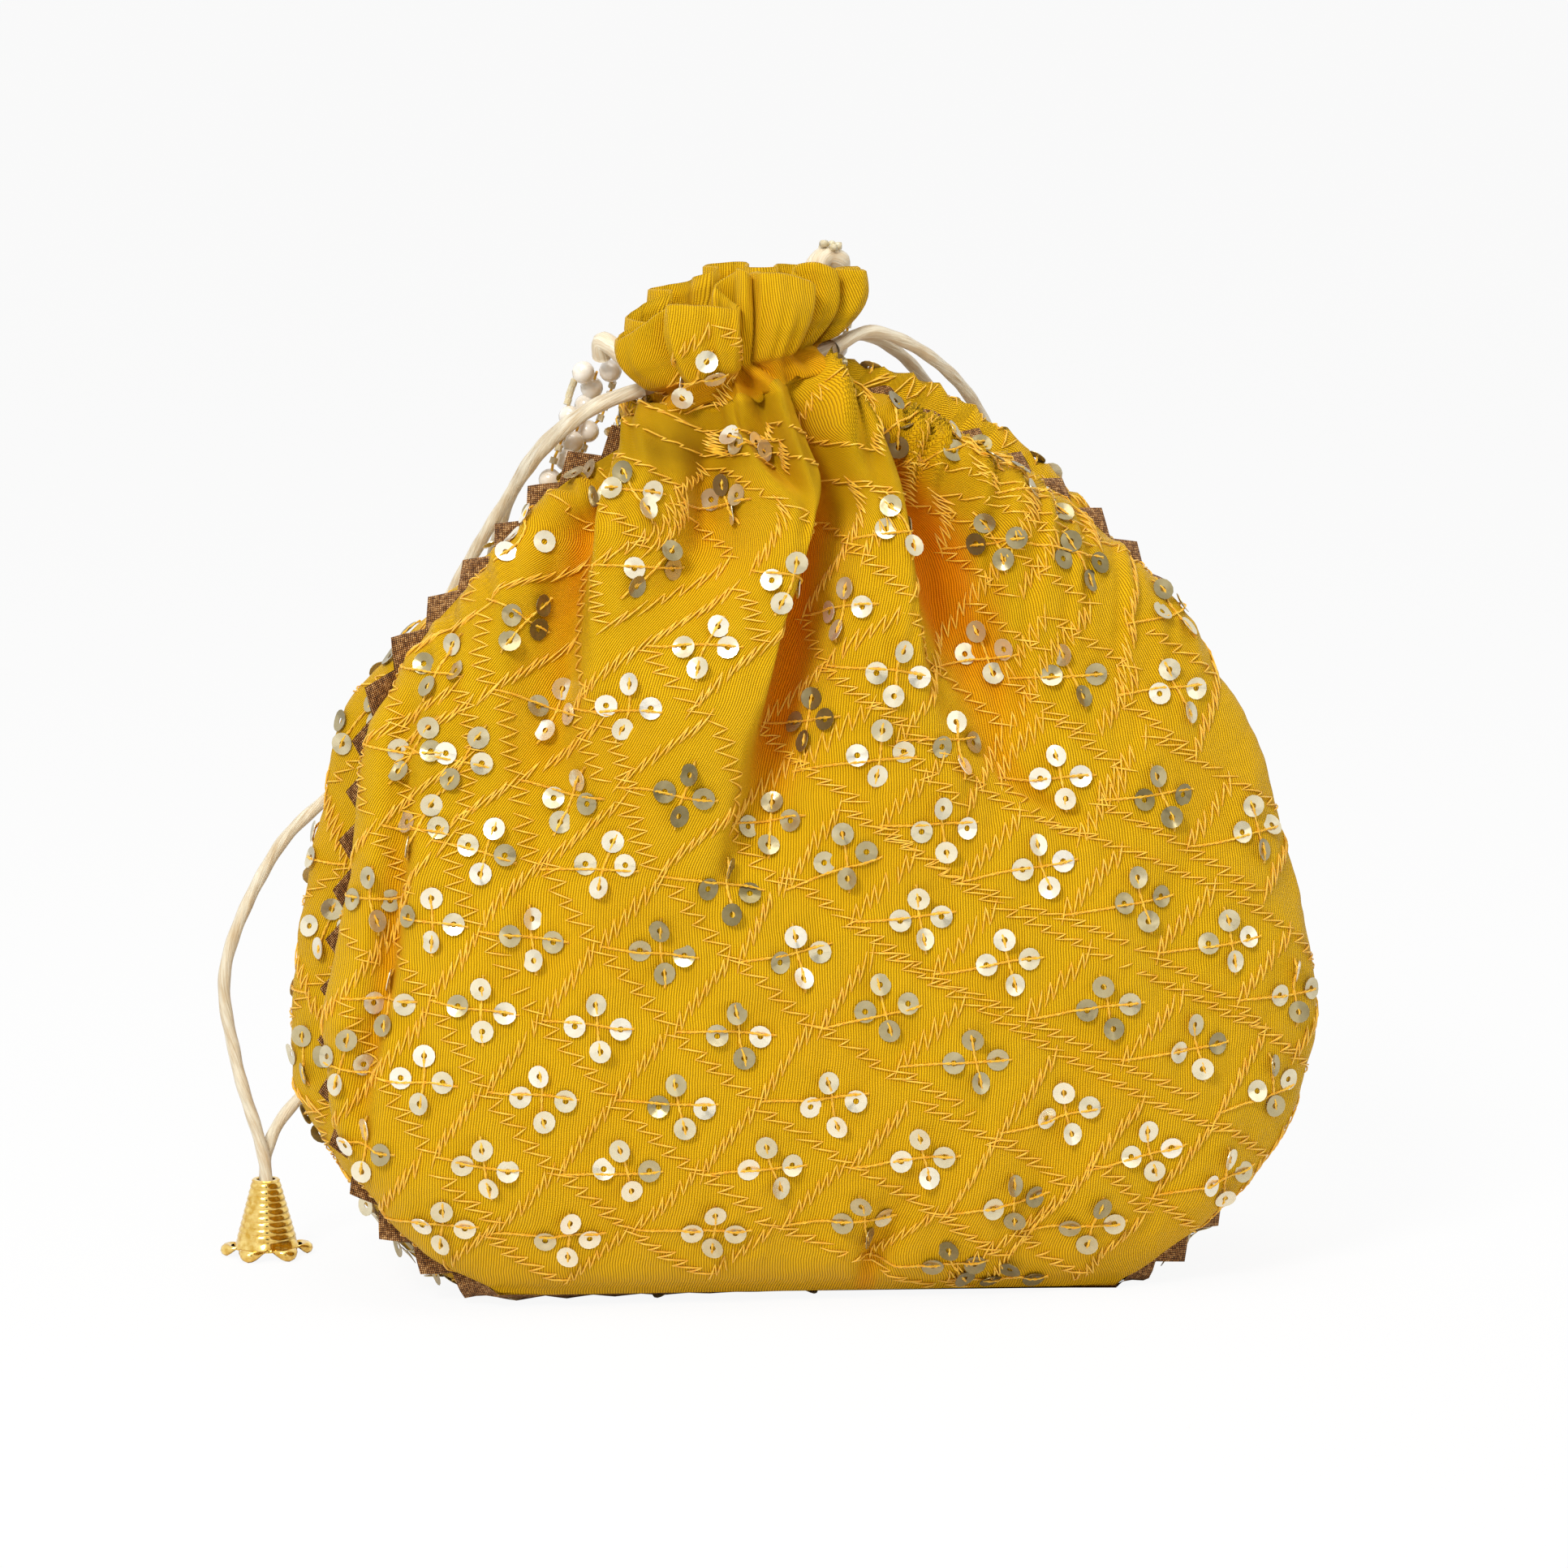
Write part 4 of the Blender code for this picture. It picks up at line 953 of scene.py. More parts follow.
# Where the back panel rolls out past the seam: the side, the heights between which it does, and how far.
BACK_ROLLS = [(-1, (22, 138), 5.5), (1, (150, 200), 5.0), (1, (0, 60), 3.0)]


def dressed_cloth(front, across, at):
    """Points of the cloth with its folds and its ruffle, in millimetres."""
    base = smooth_cloth(front, across, np.minimum(at, FIRST_RUFFLE - 0.5))
    step = 0.004
    along = smooth_cloth(front, np.minimum(across + step, 1), at)
    along -= smooth_cloth(front, np.maximum(across - step, 0), at)
    up = smooth_cloth(front, across, at + 0.08) - smooth_cloth(front, across, at - 0.08)
    normal = unit(np.cross(along, up) if front else np.cross(up, along))
    lift, push = fold_shift(front, base[..., 0], base[..., 2], across)
    settle = smooth((at - 0.2) / 2.2)
    body = base + normal * (lift * settle)[..., None]
    body[..., 0] += push * settle
    for side, (low, high), reach in [] if front else BACK_ROLLS:
        near = across if side < 0 else 1 - across
        swell = np.exp(-(((near - 0.07) / 0.06) ** 2)) * np.clip(near / 0.03, 0, 1)
        swell *= smooth((base[..., 2] - low) / 22) * smooth((high - base[..., 2]) / 22)
        body[..., 0] += side * reach * swell
        body[..., 2] += reach * swell * np.clip((base[..., 2] - 150) / 25, 0, 1)
    share = smooth((at - CINCH + 0.7) / 1.5)[..., None]
    rise = (at - CINCH) / (TOP - CINCH)
    made = clear_of_cords(body * (1 - share) + ruffle_point(front, across, rise) * share)
    made[..., 2] = np.maximum(made[..., 2] - BASE_SAG * (1 - smooth(at / 0.6)), 0.15)
    return made


class Cloth:
    """One panel's grid of points, with its normals and the cloth's own coordinates in metres."""

    def __init__(self, front, rows, columns):
        self.front = front
        across, self.at = self.places(front, rows, columns)
        a, t = np.meshgrid(across, self.at)
        self.points = dressed_cloth(front, a, t) * MM
        base = smooth_cloth(front, a, np.minimum(t, FIRST_RUFFLE - 0.5))
        # The hollow mask: where the folds run deep and at the cinched neck, the cloth's colour gets painted shade
        # and a painted glow
        depth = -fold_shift(front, base[..., 0], base[..., 2], a)[0]
        in_folds = smooth((depth - 1) / 9.5) * (t < CINCH)
        in_neck_folds = smooth((t - CINCH + 1.2) / 1.2) * smooth((CINCH + 0.9 - t) / 0.9)
        self.hollow = in_folds + 0.35 * in_neck_folds
        along, up = np.gradient(self.points, axis=1), np.gradient(self.points, axis=0)
        self.normals = unit(np.cross(along, up) if front else np.cross(up, along))
        steps = np.linalg.norm(np.diff(self.points, axis=1), axis=2)
        u = np.concatenate([np.zeros((rows, 1)), np.cumsum(steps, axis=1)], axis=1)
        u -= u[:, columns // 2][:, None]
        kernel = np.hanning(23)
        padded = np.pad(u, ((11, 11), (0, 0)), mode="edge")
        self.u = sum(w * padded[k : k + rows] for k, w in enumerate(kernel)) / kernel.sum()
        middle = self.points[:, columns // 6 : -columns // 6]
        steps = np.linalg.norm(np.diff(middle, axis=0), axis=2).mean(axis=1)
        self.v = np.concatenate([[0], np.cumsum(steps)])

    @staticmethod
    def places(front, rows, columns):
        """Places across and up that lie about evenly on the cloth."""
        fine = np.linspace(0, 1, 2001)
        gone = lengths_along(smooth_cloth(front, fine, np.full_like(fine, 7.0)))
        across = np.interp(np.linspace(0, gone[-1], columns), gone, fine)
        fine = np.linspace(0, TOP, 2001)
        line = smooth_cloth(front, np.full_like(fine, 0.5), np.minimum(fine, FIRST_RUFFLE - 0.5))
        least = np.where(fine[1:] > FIRST_NECK, 0.02, 0.004)
        gone = np.concatenate([[0], np.cumsum(np.maximum(np.diff(lengths_along(line)), least))])
        return across, np.interp(np.linspace(0, gone[-1], rows), gone, fine)

    def place(self, row, column):
        """The point and normal at a fractional row and column."""
        rows, columns = self.points.shape[:2]
        row, column = np.clip(row, 0, rows - 1.001), np.clip(column, 0, columns - 1.001)
        r, c = row.astype(int), column.astype(int)
        f, g = (row - r)[..., None], (column - c)[..., None]
        found = []
        for grid in (self.points, self.normals):
            low = grid[r, c] * (1 - g) + grid[r, c + 1] * g
            high = grid[r + 1, c] * (1 - g) + grid[r + 1, c + 1] * g
            found.append(low * (1 - f) + high * f)
        return found[0], unit(found[1])

    def on(self, places):
        """The points and normals at places given in the cloth's own coordinates."""
        u, v = places[..., 0].ravel(), places[..., 1].ravel()
        rows = np.interp(v, self.v, np.arange(len(self.v)))
        low = np.clip(rows.astype(int), 0, len(self.v) - 2)
        columns = np.empty_like(rows)
        steps = np.arange(self.u.shape[1])
        for k, (r, l) in enumerate(zip(rows, low)):
            f = r - l
            columns[k] = np.interp(u[k], self.u[l] * (1 - f) + self.u[l + 1] * f, steps)
        return [found.reshape(*places.shape[:-1], 3) for found in self.place(rows, columns)]

    def width_at(self, v):
        row = np.interp(v, self.v, np.arange(len(self.v))).astype(int)
        return self.u[row, 0], self.u[row, -1]

    def holds(self, places, margin):
        """Which places lie on the cloth, at least a margin inside its side and bottom edges."""
        left, right = self.width_at(places[..., 1])
        u, v = places[..., 0], places[..., 1]
        return (u > left + margin) & (u < right - margin) & (v > margin)


HEM_ROWS = 4
HEM_TURN = 1.0 * MM
LINING_GAP = 0.5 * MM


def inner_layer(cloth, rows, gap, rim):
    """Rows of the ruffle's inner side: gap inside the cloth, the first one rounded over its edge by rim."""
    layers = []
    for k, row in enumerate(rows):
        share = min(1.0, (k + 1) / 2)
        place = cloth.points[row] - cloth.normals[row] * gap * share
        place[:, 2] += rim * math.sin(math.pi * share)
        layers.append(place)
    return np.stack(layers)


def grid_piece(name, cloth, grid, u, v, finish):
    """A piece of cloth from a grid of points, with the cloth's own coordinates."""
    uv = np.stack([u, np.broadcast_to(v[:, None], u.shape)], -1).reshape(-1, 2)
    faces = grid_faces(*grid.shape[:2], not cloth.front)
    return new_piece(name, grid.reshape(-1, 3), faces, finish, "cloth", uv)


def panel_piece(name, cloth, node):
    """The embroidered cloth, up to the ruffle's edge and over it into a narrow hem inside."""
    last = len(cloth.points) - 1
    turned = list(range(last, last - HEM_ROWS, -1))
    grid = np.concatenate([cloth.points, inner_layer(cloth, turned, HEM_TURN, 0.35 * MM)])
    v = np.concatenate([cloth.v, 2 * cloth.v[-1] - cloth.v[turned] + 0.6 * MM])
    u = np.concatenate([cloth.u, cloth.u[turned]])
    made = grid_piece(name, cloth, grid, u, v, YELLOW)
    # The hollow mask carries the painted shade and painted glow of the folds
    point_values(made, "hollow", np.concatenate([cloth.hollow, cloth.hollow[turned]]).ravel())
    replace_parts(made, node)


def lining_piece(name, cloth):
    """The lining that shows inside the mouth, from below the hem down past the cinched neck, coloured deep orange
    as painted shade.
    """
    start = int(np.searchsorted(cloth.at, CINCH - 0.1))
    kept = [*range(len(cloth.points) - 3, start, -2), start]
    grid = inner_layer(cloth, kept, LINING_GAP, 0.0)
    return grid_piece(name, cloth, grid, cloth.u[kept], cloth.v[kept], LINING_PAINTED_SHADE)


def fineness(full):
    """A number of rows or columns, as given."""
    return full


FRONT = Cloth(True, fineness(300), fineness(304))
BACK = Cloth(False, fineness(220), fineness(220))
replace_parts(lining_piece("front_lining", FRONT), "casing_band")
lining_piece("back_lining", BACK)
panel_piece("front_cloth", FRONT, "front_panel")
panel_piece("back_cloth", BACK, "back_panel")


# Embroidery: florets of four sequins in a lattice of zigzag stitches

# The florets that show on the front, in millimetres across and up in the picture that the camera takes, from the
# base up: (across, up, tone), where tone is how light the sequins look as a painted reflection, or None where
# only stitches show
FLORETS = [
    (34.8, -99, 0.1), (63.7, -91.3, 0.6), (91.5, -81.5, 0.7), (47.3, -102.3, 0.1), (-70.2, -91.2, 0.75),
    (-44.2, -93.7, 0.75), (-14.3, -92.3, 0.6), (16.7, -90.7, 0.35), (47.5, -86.3, 0.7),
    (75.7, -75.7, 0.75), (101.3, -62, 0.7), (-86.3, -75, 0.8), (-61.3, -78.8, 0.8), (-32.7, -79.2, 0.75),
    (-2.2, -78.5, 0.6), (29, -77, 0.7), (58.5, -67.3, 0.8), (84.8, -54, 0.8), (105.2, -42.8, 0.7),
    (-74, -60.8, 0.85), (-49.5, -64.7, 0.85), (-21.2, -66.5, 0.8), (9.8, -66, 0.8), (39.3, -57.3, 0.3),
    (66.5, -46.2, 0.35), (92.3, -32.3, 0.6), (-91, -57.3, 0.6), (-81.8, -44.8, 0.8), (-62.3, -46.5, 0.85),
    (-38.2, -50.3, 0.85), (-9, -51.8, 0.6), (20.5, -46.2, 0.5), (46.5, -36.3, 0.8), (73.7, -24, 0.3),
    (97.3, -9.5, 0.7), (-72.7, -28, 0.8), (-51.8, -32.2, 0.85), (-24.7, -34.5, 0.25), (2.8, -35.5, 0.8),
    (28.2, -27.8, 0.6), (52.8, -16.5, 0.9), (78, -2.5, 0.2), (-84.7, -24, 0.5), (-60.8, -13.7, 0.8),
    (-36.7, -16.5, 0.85), (-11.5, -21.7, 0.2), (12.8, -15.2, 0.45), (32.8, -9.5, 0.75), (57, 1.5, 0.9),
    (81.3, 19.3, 0.7), (-75.5, -8.5, 0.6), (-44, -3.2, 0.7), (-20.2, -2.3, 0.15), (-3.2, -7.7, 0.5),
    (19.5, 6.5, 0.75), (36.5, 8, 0.8), (59.5, 22.7, 0.3), (80.3, 36, 0.5), (-65.7, 5, 0.7),
    (-76.8, 6.8, 0.5), (-47, 15.2, 0.9), (-32.3, 16, 0.85), (4.8, 13, 0.2), (23.2, 22.7, 0.7),
    (41, 27.2, 0.75), (62, 46.3, 0.15), (-71.3, 24, 0.6), (-53.2, 33.3, 0.2), (-15.8, 27.7, 0.85),
    (1.8, 41, 0.85), (11.5, 35.7, 0.8), (25.7, 53, 0.5), (43.3, 49.7, 0.2), (53.2, 61, 0.3),
    (-54, 51.8, 0.9), (-39, 61.8, 0.6), (-26.3, 44.3, 0.85), (-4, 42.3, 0.85), (18, 54.8, 0.9),
    (23.2, 74.3, 0.2), (38.2, 70.2, 0.3), (26.5, 80.2, 0.85), (-31, 60.2, 0.8), (-13.2, 59.3, 0.7),
    (-6.8, 71, 0.8), (-18, 81.8, 0.85), (-25, 73, None), (4, 70, None), (13, 76, None), (11, 58, None),
    (-21, 50, None), (-9, 85, None), (36, 60, None), (50, 38, None),
]
PETAL = 4.5 * MM
SEQUIN_RADIUS = 2.28 * MM
SEQUIN_HOLE = 0.66 * MM
SEQUIN_SIDES = 14
CELL_WIDTH = 31 * MM
CELL_HEIGHT = 29 * MM
CELL_SLACK = 8.5 * MM
FLORETS_APART = 10.5 * MM
TALL_STROKE = np.array([0.5, 4.9]) * MM
FLAT_STROKE = np.array([4.4, 0.2]) * MM
MISSED_STITCHES = 0.03
STITCH_EDGE = 0.8 * MM
# The share of sequins painted dark, as a painted reflection
SEQUINS_PAINTED_DARK = 0.12
SEQUIN_LIFT = 0.22 * MM
OVER_SEQUIN = 0.62 * MM
THREAD_TURN = 1.5 * MM


def florets_on_front():
    """The florets' places on the front cloth, found along the camera's lines of sight."""
    local = (FRONT.points - np.array(CAMERA.location)) @ np.array(CAMERA.rotation_euler.to_matrix())
    depth = -local[..., 2]
    seen = local[..., :2] / depth[..., None] * DISTANCE
    found = []
    for across, up, tone in FLORETS:
        off = np.hypot(seen[..., 0] - across * MM, seen[..., 1] - up * MM)
        near = off < off.min() + 0.9 * MM
        r, c = np.unravel_index(np.argmin(np.where(near, depth + off, 9.0)), off.shape)
        spot = (FRONT.u[r, c], FRONT.v[r])
        crowded = any(math.dist(spot, other[:2]) < FLORETS_APART for other in found)
        if off.min() < 5 * MM and not crowded:
            found.append((*spot, tone))
    return found


def diamonds(florets):
    """Each floret's place, the ways to its diamond's corners, which neighbours it has, and its tone."""
    places = np.array([(u, v) for u, v, _ in florets])
    found = []
    for here, (_, _, tone) in zip(places, florets):
        ways, near = {}, {}
        for side, rise in ((-1, -1), (-1, 1), (1, -1), (1, 1)):
            want = np.array([side * CELL_WIDTH, rise * CELL_HEIGHT]) / 2
            off = np.linalg.norm(places - here - want, axis=1)
            k = int(np.argmin(off))
            near[side, rise] = off[k] < CELL_SLACK
            ways[side, rise] = places[k] - here if near[side, rise] else want * 0.92
        corners = {
            "top": (ways[-1, 1] + ways[1, 1]) / 2,
            "right": (ways[1, 1] + ways[1, -1]) / 2,
            "left": (ways[-1, 1] + ways[-1, -1]) / 2,
            "bottom": (ways[-1, -1] + ways[1, -1]) / 2,
        }
        found.append((here, corners, near, tone))
    return found


def stitches(cloth, ends, height, radius, sides=4, steps=3):
    """Threads that arch over the cloth from point to point; ends holds two places for each."""
    count = len(ends)
    share = np.linspace(0, 1, steps + 1)
    point, normal = cloth.on(ends[:, :1] * (1 - share)[None, :, None] + ends[:, 1:] * share[None, :, None])
    arch = np.sin(np.pi * share) ** 0.6 * height + radius * 0.4
    line = point + normal * arch[None, :, None]
    along = unit(line[:, -1] - line[:, 0])
    side = unit(np.cross(np.broadcast_to(along[:, None], normal.shape), normal))
    turn = 2 * np.pi * (np.arange(sides) + 0.5) / sides
    ring = np.cos(turn)[:, None] * side[:, :, None] + np.sin(turn)[:, None] * normal[:, :, None]
    taper = np.where((share == 0) | (share == 1), 0.45, 1.0)[None, :, None, None]
    points = line[:, :, None] + ring * radius * taper
    each = (steps + 1) * sides
    r, s = np.meshgrid(np.arange(steps), np.arange(sides), indexing="ij")
    n = (s + 1) % sides
    corners = [r * sides + s, (r + 1) * sides + s, (r + 1) * sides + n, r * sides + n]
    quads = np.stack(corners, -1).reshape(-1, 4)
    faces = (quads[None] + (np.arange(count) * each)[:, None, None]).reshape(-1, 4)
    return points.reshape(-1, 3), faces


def florets_on_back():
    """A plain lattice over the back, as the cloth was embroidered before it was sewn."""
    found = []
    for row in range(-1, 18):
        v = 6 * MM + row * CELL_HEIGHT / 2
        if v > BACK.v[-1] - 14 * MM or v < 4 * MM:
            continue
        left, right = BACK.width_at(v)
        for column in range(-5, 6):
            u = (column + 0.5 * (row % 2)) * CELL_WIDTH
            if left + 4 * MM < u < right - 4 * MM:
                # The back's sequins get a painted reflection of random lightness
                found.append((u, v, CHANCE.uniform(0.25, 0.85)))
    return found


def zigzag(start, end, stroke, teeth, rng):
    """A zigzag of stitches between two lattice corners, each as long as the stroke with a little chance."""
    found, last = [], None
    for k in range(2 * teeth):
        middle = start + (end - start) * (k + 0.5) / (2 * teeth)
        side = 0.5 if k % 2 else -0.5
        place = middle + stroke * side * rng.uniform(0.82, 1.15)
        place = place + rng.normal(0, 0.16 * MM, 2)
        if last is not None and rng.random() > MISSED_STITCHES:
            found.append((last, place))
        last = place
    return found


def zigzag_stitches(name, cloth, lattice, rng):
    """Zigzags along the sides of every diamond, each side once."""
    strokes = []
    for here, corner, near, _ in lattice:
        for a, b, stroke, teeth, wanted in (
            ("left", "top", TALL_STROKE, 7, True),
            ("top", "right", FLAT_STROKE, 6, True),
            ("left", "bottom", FLAT_STROKE, 6, not near[-1, -1]),
            ("bottom", "right", TALL_STROKE, 7, not near[1, -1]),
        ):
            if wanted:
                strokes += zigzag(here + corner[a], here + corner[b], stroke, teeth, rng)
    strokes = np.array(strokes)
    left, right = cloth.width_at(strokes[:, 0, 1])
    u, v = strokes[..., 0], strokes[..., 1]
    kept = (u.min(1) > left + STITCH_EDGE) & (u.max(1) < right - STITCH_EDGE)
    kept &= (v.min(1) > STITCH_EDGE) & (v.max(1) < cloth.v[-1] - 1.5 * MM)
    points, faces = stitches(cloth, strokes[kept], 0.3 * MM, 0.2 * MM)
    new_piece(name, points, faces, STITCH, "cloth")


def sequin_shape():
    """One sequin: a thin ring with a hole, cupped a little."""
    add = bpy.ops.mesh.primitive_circle_add
    made = start_shape(add, vertices=SEQUIN_SIDES, radius=SEQUIN_RADIUS, fill_type="NGON")
    bpy.ops.mesh.inset(thickness=SEQUIN_RADIUS - SEQUIN_HOLE, depth=-0.14 * MM)
    bpy.ops.mesh.delete(type="ONLY_FACE")
    bpy.ops.mesh.select_all(action="SELECT")
    bpy.ops.mesh.solidify(thickness=0.13 * MM)
    bpy.ops.mesh.normals_make_consistent(inside=False)
    points, faces = end_shape(made)
    points[:, 2] -= points[:, 2].min()
    return points, faces


def sequins(name, cloth, lattice, shape, rng):
    """Four sequins round each floret's middle, each tilted its own way and with a painted reflection in its
    colour.
    """
    points, faces = shape
    parts, painted_reflections = [], []
    for here, corner, _, tone in lattice:
        if tone is None:
            continue
        right, above = unit(corner["right"] - corner["left"]), unit(corner["top"] - corner["bottom"])
        roll = rng.choice((-1, 1)) * rng.uniform(0.25, 0.6)
        for way, lean in ((right, 0.0), (above, roll), (-right, 0.0), (-above, roll)):
            spot = here + way * PETAL * rng.uniform(0.92, 1.08)
            if not cloth.holds(spot, 1.5 * MM):
                continue
            (point, ahead), (normal, _) = cloth.on(np.stack([spot, spot + way * MM]))
            toward = ahead - point
            toward = unit(toward - normal * (toward @ normal))
            side = np.cross(normal, toward)
            tilt = unit(normal + toward * rng.normal(-0.05, 0.10) + side * (lean + rng.normal(0, 0.14)))
            toward = unit(toward - tilt * (toward @ tilt))
            side = np.cross(tilt, toward)
            bend = 0.08 + 0.056 * rng.random()
            height = points[:, 2:] + bend * np.abs(points[:, 1:2])
            placed = point + points[:, :1] * toward + points[:, 1:2] * side + height * tilt
            lift = SEQUIN_LIFT + 0.45 * SEQUIN_RADIUS * abs(lean)
            parts.append((placed + normal * lift, faces))
            # Each disc's painted reflection: a few are painted dark, the rest about as light as their floret's
            # tone
            painted_dark = rng.random() < SEQUINS_PAINTED_DARK
            own = 0.15 + 0.3 * rng.random() if painted_dark else np.clip(tone + rng.normal(0, 0.12), 0.02, 1)
            painted_reflections.append(np.full(len(points), own))
    made = new_piece(name, *joined(parts), SEQUIN, "gold")
    made.data.set_sharp_from_angle(angle=math.radians(50))
    point_values(made, "tone", np.concatenate(painted_reflections))


def tack_threads(name, cloth, lattice, rng):
    """The twisted threads that hold the sequins: one runs across the diamond, one down its middle."""
    parts = []
    for here, corner, _, tone in lattice:
        if tone is None:
            continue
        above = unit(corner["top"] - corner["bottom"])
        past = unit(corner["right"]) * (PETAL + 3.0 * MM)
        for start, end in (
            (here + corner["left"] * 0.97, here + past), (here + above * 7.0 * MM, here - above * 7.2 * MM),
        ):
            run = end - start
            length = np.linalg.norm(run)
            share = np.linspace(0, 1, max(6, int(length / (0.9 * MM))))
            sway = np.sin(share * math.pi * rng.uniform(1, 2.5) + rng.uniform(0, 6)) * 0.25 * MM
            path = start + run * share[:, None] + np.array([-run[1], run[0]]) / length * sway[:, None]
            if not cloth.holds(path, 0.6 * MM).all():
                continue
            point, normal = cloth.on(path)
            reach = np.linalg.norm(path - here, axis=1)
            over = np.exp(-(((reach - PETAL) / (1.9 * MM)) ** 4)) * OVER_SEQUIN
            line = point + normal * (over + 0.2 * MM)[:, None]
            side = np.cross(normal, unit(np.gradient(line, axis=0)))
            turn = share * length / THREAD_TURN * 2 * math.pi + rng.uniform(0, 6)
            for ply in (0, math.pi):
                shift = side * np.cos(turn + ply)[:, None] + normal * np.sin(turn + ply)[:, None]
                parts.append(tube(line + shift * 0.16 * MM, 0.17 * MM, 4)[:2])
    new_piece(name, *joined(parts), STITCH, "cloth")


def embroidery():
    """The sequins and threads of both panels."""
    shape = sequin_shape()
    sides = (("front", FRONT, florets_on_front, 3), ("back", BACK, florets_on_back, 4))
    for word, cloth, florets, seed in sides:
        rng = np.random.default_rng(seed)
        lattice = diamonds(florets())
        zigzag_stitches(f"{word}_zigzag_stitches", cloth, lattice, rng)
        sequins(f"{word}_sequins", cloth, lattice, shape, rng)
        tack_threads(f"{word}_tack_threads", cloth, lattice, rng)


embroidery()


# The folded ribbon in the seam

RIBBON_THICKNESS, POINT_PITCH, POINT_HEIGHT = 0.4, 10.0, 5.0
SEAM_FOOT = 1.4


def seam_line(at, right):
    """A point of the side seam, on the right or the left, at a place counted in stations."""
    row = min(int(at), TOP - 1)
    s = STATIONS[row] + (STATIONS[row + 1] - STATIONS[row]) * (at - row)
    return np.array([s[2] - s[10], s[4], s[3]]) if right else np.array([s[0] + s[10], s[4], s[1]])


def seam_route():
    """The seam from the neck's left side down, along the base and up again, with a corner every half point."""
    last = int((FIRST_NECK - 0.15) * 12)
    left = [seam_line(k / 12, False) for k in range(last, -1, -1)]
    right = [seam_line(k / 12, True) for k in range(last + 1)]
    shares = np.arange(1, 60) / 60
    zero = np.zeros_like(shares)
    base = (smooth_cloth(True, shares, zero) + smooth_cloth(False, shares, zero)) / 2
    runs = [evenly(np.array(run), POINT_PITCH / 2, 2) for run in (left, [left[-1], *base, right[0]], right)]
    return np.concatenate([runs[0][:-1], runs[1], runs[2][1:]])


def ribbon_lean(here, out):
    """How far the ribbon leans to the back from pointing outwards, in radians; to the front if negative."""
    if here[2] < 14 or abs(out[0]) < 0.3:
        return 0.0
    if here[0] < -20:
        lean = 10 + 45 * smooth((168 - here[2]) / 34) - 80 * smooth((140 - here[2]) / 14)
        return math.radians(lean) * smooth((here[2] - 14) / 20)
    return math.radians(30 + 52 * smooth((152 - here[2]) / 42)) * smooth((here[2] - 14) / 14)


def ribbon_frames(line):
    """For each corner of the seam: its place, the ribbon's way out and through, and how deep it is sewn."""
    low = RIBBON_THICKNESS / 2 + 0.2
    found = []
    for k, here in enumerate(line):
        along = unit(line[min(k + 1, len(line) - 1)] - line[max(k - 1, 0)])
        out = unit(np.cross([0.0, 1.0, 0.0], along))
        room = max(out[2], (low - here[2]) / POINT_HEIGHT)
        tuck = smooth(math.sqrt(max(0.0, 1 - out[0] ** 2 - room**2)) / 0.8)
        held = smooth((here[2] - 3 * SEAM_FOOT) / (4 * SEAM_FOOT))
        middle = here + out * (tuck * (SEAM_FOOT - low) + (1 - tuck) * (1 - held) * 0.6)
        middle[2] = max(middle[2], low)
        sink = max(out[2], (low - middle[2]) / POINT_HEIGHT)
        lying = unit(np.array([out[0], math.sqrt(max(0.0, 1 - out[0] ** 2 - sink**2)), sink]))
        lean = ribbon_lean(here, out)
        if lean:
            lying = unit(out * math.cos(lean) + np.array([0.0, 1.0, 0.0]) * math.sin(lean))
            middle = middle + out * (0.8 if here[0] < 0 else -0.9) * math.sin(abs(lean))
            if here[0] < 0:
                shown = smooth((here[2] - 30) / 15) * smooth((136 - here[2]) / 12)
                middle = middle + (out * 1.4 - np.array([0.0, 1.2, 0.0])) * shown
        sewn = 0.2 + 2.4 * held + 1.1 * smooth((tuck - 0.9) / 0.1)
        found.append((middle, lying, unit(np.cross(along, lying)), sewn * math.cos(lean) ** 2))
    return found


def ribbon_trim():
    """A ribbon folded into right-angled points: each is two layers that meet in a fold down its middle."""
    frames = ribbon_frames(seam_route())
    parts, uvs = [], []
    rng = np.random.default_rng(9)
    half, edge, steps = RIBBON_THICKNESS / 2, 0.7, 6
    for first, middle, last in zip(frames[:-2:2], frames[1:-1:2], frames[2::2]):
        bend = rng.normal(0, 0.35) if middle[0][2] > 8 else 0.0
        apex = POINT_HEIGHT * rng.uniform(0.94, 1.04)
        for way in (1, -1):
            points = []
            for share in np.linspace(0, 1, steps + 1):
                here, lying, thick, sewn = (a * (1 - share) + b * share for a, b in zip(first, last))
                lying, thick = unit(lying), unit(thick)
                peak = 1 - abs(2 * share - 1)
                reach = edge + (apex - edge) * peak
                levels = np.array([-sewn, 0.0, reach * 0.5, reach - 0.12, reach])
                puffs = np.array([half, half, half, half, half * 0.3])
                puffs += np.where((levels > 0) & (levels < reach - 0.2), 0.12 + 0.22 * peak**0.5, 0)
                if here[2] < 3:
                    puffs = np.minimum(puffs, half)
                over = bend * np.maximum(levels, 0) ** 2 / POINT_HEIGHT**2
                place = here + lying * levels[:, None] + thick * (way * puffs + over)[:, None]
                place[:, 2] = np.maximum(place[:, 2], 0.12)
                points += (place * MM).tolist()
                uvs += [((share - 0.5) * POINT_PITCH * MM, level * MM) for level in levels]
            parts.append((points, grid_faces(steps + 1, 5, way > 0)))
    made = new_piece("ribbon_points", *joined(parts), RIBBON, "ribbon", np.array(uvs))
    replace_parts(made, "ribbon_trim")


ribbon_trim()


# The beaded handle

